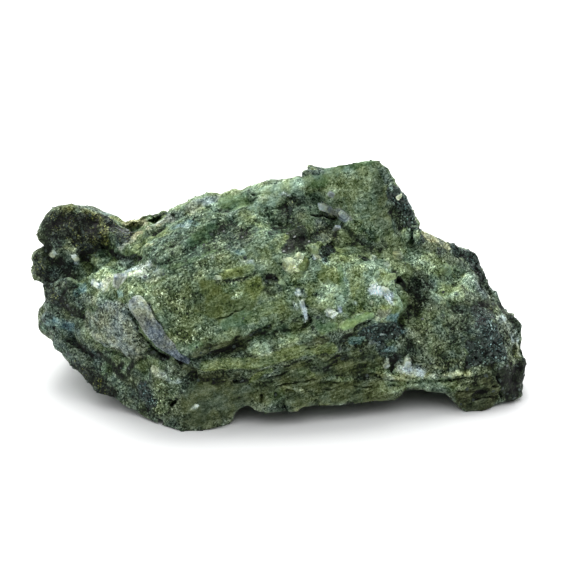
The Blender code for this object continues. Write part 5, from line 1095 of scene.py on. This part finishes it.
# Pale crystals
# Small blocks of quartz and pale beryl stand half out of the rock, broken to flat sides.
# Each has its place, its three sizes in millimetres, its turn and its mineral.
CRYSTALS = [
    ((1.5, -13.1, 28.4), (2.3, 1.5, 2.3), (20, 10, 30), "cream quartz"),
    ((3.3, -12.6, 29.7), (1.4, 1.1, 1.4), (40, 20, 10), "cream quartz"),
    ((4.2, -12.7, 28.2), (1.7, 1.2, 2.2), (5, 30, 60), "yellow green beryl"),
    ((5.8, -10.8, 30.3), (1.7, 1.2, 1.4), (15, 0, 20), "dull beryl"),
    ((0.1, -13.7, 25.3), (1.1, 0.9, 0.9), (15, 40, 20), "pale beryl"),
    ((4.4, -13.2, 26.3), (1.4, 1.0, 1.3), (15, 40, 50), "pale beryl"),
    ((6.2, -11.3, 29), (1.2, 0.8, 0.8), (25, 20, 50), "pale quartz"),
    ((6.5, -12.4, 27.3), (1.1, 0.9, 1.1), (45, 10, 20), "sugary beryl"),
    ((8, -0.7, 34.3), (2.6, 1.1, 1.5), (0, 20, 20), "pale quartz"),
    ((9.7, -0.9, 33.8), (2.2, 1.1, 1.3), (10, 35, 15), "lilac quartz"),
    ((11.6, -2.3, 33.4), (2.0, 1.0, 1.2), (0, 40, 10), "pale quartz"),
    ((9.2, -1.7, 37.3), (1.2, 0.8, 0.9), (10, 30, 10), "lilac quartz"),
    ((10.3, -3.7, 31.4), (1.2, 0.8, 1.0), (30, 10, 10), "lilac quartz"),
    ((21.5, -2, 36.9), (0.9, 0.6, 1.0), (10, 50, 10), "pale quartz"),
    ((21.2, -5, 26.6), (1.7, 1.1, 1.6), (10, 5, 15), "cream quartz"),
    ((19.1, -8.4, 26.1), (1.4, 1.0, 1.2), (30, 5, 45), "cream quartz"),
    ((16.8, -7.7, 27.3), (1.0, 0.9, 0.9), (20, 25, 45), "cream quartz"),
    ((9, -15.8, 20.1), (1.5, 0.9, 1.2), (25, 0, 30), "pale quartz"),
    ((18.6, -12.2, 22.9), (2.0, 1.0, 1.3), (20, 30, 20), "pale quartz"),
    ((17, -11.5, 25.5), (0.8, 0.8, 2.2), (10, 25, 10), "pale beryl"),
    ((19.7, -11.2, 25), (1.6, 1.1, 1.8), (50, 10, 40), "pale beryl"),
    ((4, -15.7, 21.6), (0.6, 0.7, 2.0), (0, -10, 10), "pale quartz"),
    ((4.4, -15.7, 19.8), (0.6, 0.7, 1.8), (0, -12, 0), "pale quartz"),
    ((3.1, -14.2, 23.6), (0.6, 0.6, 1.2), (10, 12, 0), "pale quartz"),
    ((-29, -9.9, 24), (2.4, 1.3, 2.1), (10, 10, 20), "lilac quartz"),
    ((-33.5, -6.9, 21.6), (1.9, 1.1, 1.0), (20, 5, 70), "pale quartz"),
    ((-42.9, 1.4, 24), (1.0, 0.8, 1.4), (20, 35, 10), "pale quartz"),
    ((-38.6, 0.1, 23.9), (1.0, 0.8, 1.5), (10, -30, 10), "pale quartz"),
    ((23.1, -14.6, 9.1), (1.0, 0.8, 1.4), (25, 10, 10), "pale quartz"),
    ((19.3, -14.3, 8.7), (1.1, 0.8, 1.0), (35, 20, 50), "pale quartz"),
    ((17.1, -15.6, 19), (0.9, 0.7, 0.8), (5, 30, 30), "cream quartz"),
    ((16.2, -13.7, 21.2), (0.8, 0.7, 0.7), (15, 30, 60), "cream quartz"),
    ((-11.1, -14, 26.3), (1.2, 0.8, 0.8), (5, 10, 30), "cream quartz"),
    ((-15.1, -21.7, 4.6), (0.8, 0.5, 0.6), (5, 20, 30), "pale quartz"),
    ((30.6, -3.2, 22.7), (2.2, 1.2, 2.2), (5, 40, 10), "sugary beryl"),
    ((-24, -6.9, 29.4), (1.1, 0.7, 0.7), (5, 20, 40), "cream quartz"),
]


luck = np.random.default_rng(12)
crystals = bmesh.new()
crystal_colours = []
for centre, sizes, turn, mineral in CRYSTALS:
    single = bmesh.new()
    bmesh.ops.create_cube(single, size=1)
    bmesh.ops.bevel(
        single, geom=single.edges, offset=0.16, offset_type="OFFSET", affect="EDGES", segments=1, profile=0.5, material=-1
    )
    for vertex in single.verts:
        vertex.co *= 1 + luck.uniform(-0.1, 0.1)
    hull_only(single, single.verts)
    rotation = Euler([math.radians(angle) for angle in turn]).to_matrix()
    for vertex in single.verts:
        size = Vector([a * b for a, b in zip(vertex.co, sizes)])
        vertex.co = (Vector(centre) + rotation @ size) * MM
    bmesh.ops.recalc_face_normals(single, faces=single.faces)
    crystal_colours += [np.array(MINERALS[mineral][0]) / 255 + luck.uniform(0, 0.1)] * len(single.verts)
    carrier = bpy.data.meshes.new("carrier")
    single.to_mesh(carrier)
    single.free()
    crystals.from_mesh(carrier)
    bpy.data.meshes.remove(carrier)
pale_crystals = new_piece("pale_crystals", crystals)
finish_grain(pale_crystals, crystal_colours, (0, 0.4, 0.5), 0.5)

# Loose grains
# Broken grains of beryl and quartz, under a millimetre across, are stuck all over the
# surface and catch the light.
GRAIN_COUNT = 3000


def joined(count, make_one):
    """A bmesh of that many small shapes, made a hundred at a time, because one large bmesh is slow to add to."""
    whole = bmesh.new()
    for start in range(0, count, 100):
        few = bmesh.new()
        for number in range(start, min(start + 100, count)):
            make_one(few, number)
        carrier = bpy.data.meshes.new("carrier")
        few.to_mesh(carrier)
        few.free()
        whole.from_mesh(carrier)
        bpy.data.meshes.remove(carrier)
    return whole


def pick(likely, count):
    """Points of the stone's surface, picked by chance; none is near the table."""
    likely = likely * (places[:, 2] > 1.0)
    return luck.choice(len(places), count, replace=False, p=likely / likely.sum())


def one_grain(form, number):
    index = chosen[number]
    size = luck.uniform(0.14, 0.3) * (1.6 if luck.random() < 0.05 else 1) * MM
    flat = Vector(luck.uniform(0.5, 1.2, 3))
    turn = Matrix.Rotation(luck.uniform(0, 6.28), 4, Vector(luck.normal(size=3)))
    centre = Vector(places[index]) * MM - Vector(outward[index]) * size * 0.15
    matrix = Matrix.Translation(centre) @ turn @ Matrix.Diagonal((*flat, 1))
    bmesh.ops.create_icosphere(form, subdivisions=1, radius=size, matrix=matrix)


chosen = pick(coat[:, 6] ** 2 * soft_step((coat[:, 1] - 0.2) / 0.25), GRAIN_COUNT)
loose = new_piece("loose_grains", joined(GRAIN_COUNT, one_grain))
lightness = luck.random(GRAIN_COUNT) ** 3 * coat[chosen, 6] * 0.3
grain_colours = stone_colour[chosen] + (luck.uniform(-0.1, 0.1, GRAIN_COUNT) + lightness)[:, None]
finish_grain(loose, grain_colours, (0, 0.1, 0.2), 0.75, points_each=12)

# Mica flakes
# Dark mica lies in thin six-sided flakes over the dark schist, nearly flat on it, and
# shines where it faces the light.
FLAKE_COUNT = 900


def one_flake(form, number):
    index = chosen[number]
    across = luck.uniform(0.15, 0.4) * MM
    facing = Vector(outward[index]) + 0.2 * Vector(luck.normal(size=3))
    turn = facing.to_track_quat("Z", "Y").to_matrix().to_4x4()
    turn = turn @ Matrix.Rotation(luck.uniform(0, 6.28), 4, "Z") @ Matrix.Diagonal((1, luck.uniform(0.6, 1), 1, 1))
    matrix = Matrix.Translation(Vector(places[index]) * MM + facing.normalized() * 0.02 * MM) @ turn
    bmesh.ops.create_cone(
        form, cap_ends=True, segments=6, radius1=across, radius2=across, depth=0.12 * MM, matrix=matrix
    )


dark_share = soft_step((0.3 - coat[:, :3].mean(axis=1)) / 0.1)
chosen = pick((0.03 + dark_share) * coat[:, 7] ** 2, FLAKE_COUNT)
flakes = new_piece("mica_flakes", joined(FLAKE_COUNT, one_flake))
mica = bpy.data.materials.new("dark_mica")
mica.use_nodes = True
tree = mica.node_tree
shader = tree.nodes["Principled BSDF"]
shader.inputs["Specular IOR Level"].default_value = 0.4
place = node(tree, "ShaderNodeTexCoord").outputs["Object"]
sheet_colour, sheet_grain = grain_texture(tree, place, 1400)
sheen = mixed(tree, sheet_grain[0], (0.015, 0.026, 0.02, 1), (0.06, 0.09, 0.075, 1))
tree.links.new(sheen, shader.inputs["Base Color"])
tree.links.new(between(tree, sheet_grain[1], 0, 1, 0.22, 0.55), shader.inputs["Roughness"])
ripple = noise_texture(tree, place, 2500, 3).outputs[0]
bump = node(tree, "ShaderNodeBump", {"Height": ripple, "Strength": 0.4, "Distance": 0.05 * MM}).outputs[0]
tree.links.new(bump, shader.inputs["Normal"])
flakes.data.materials.append(mica)
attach(flakes, "root")
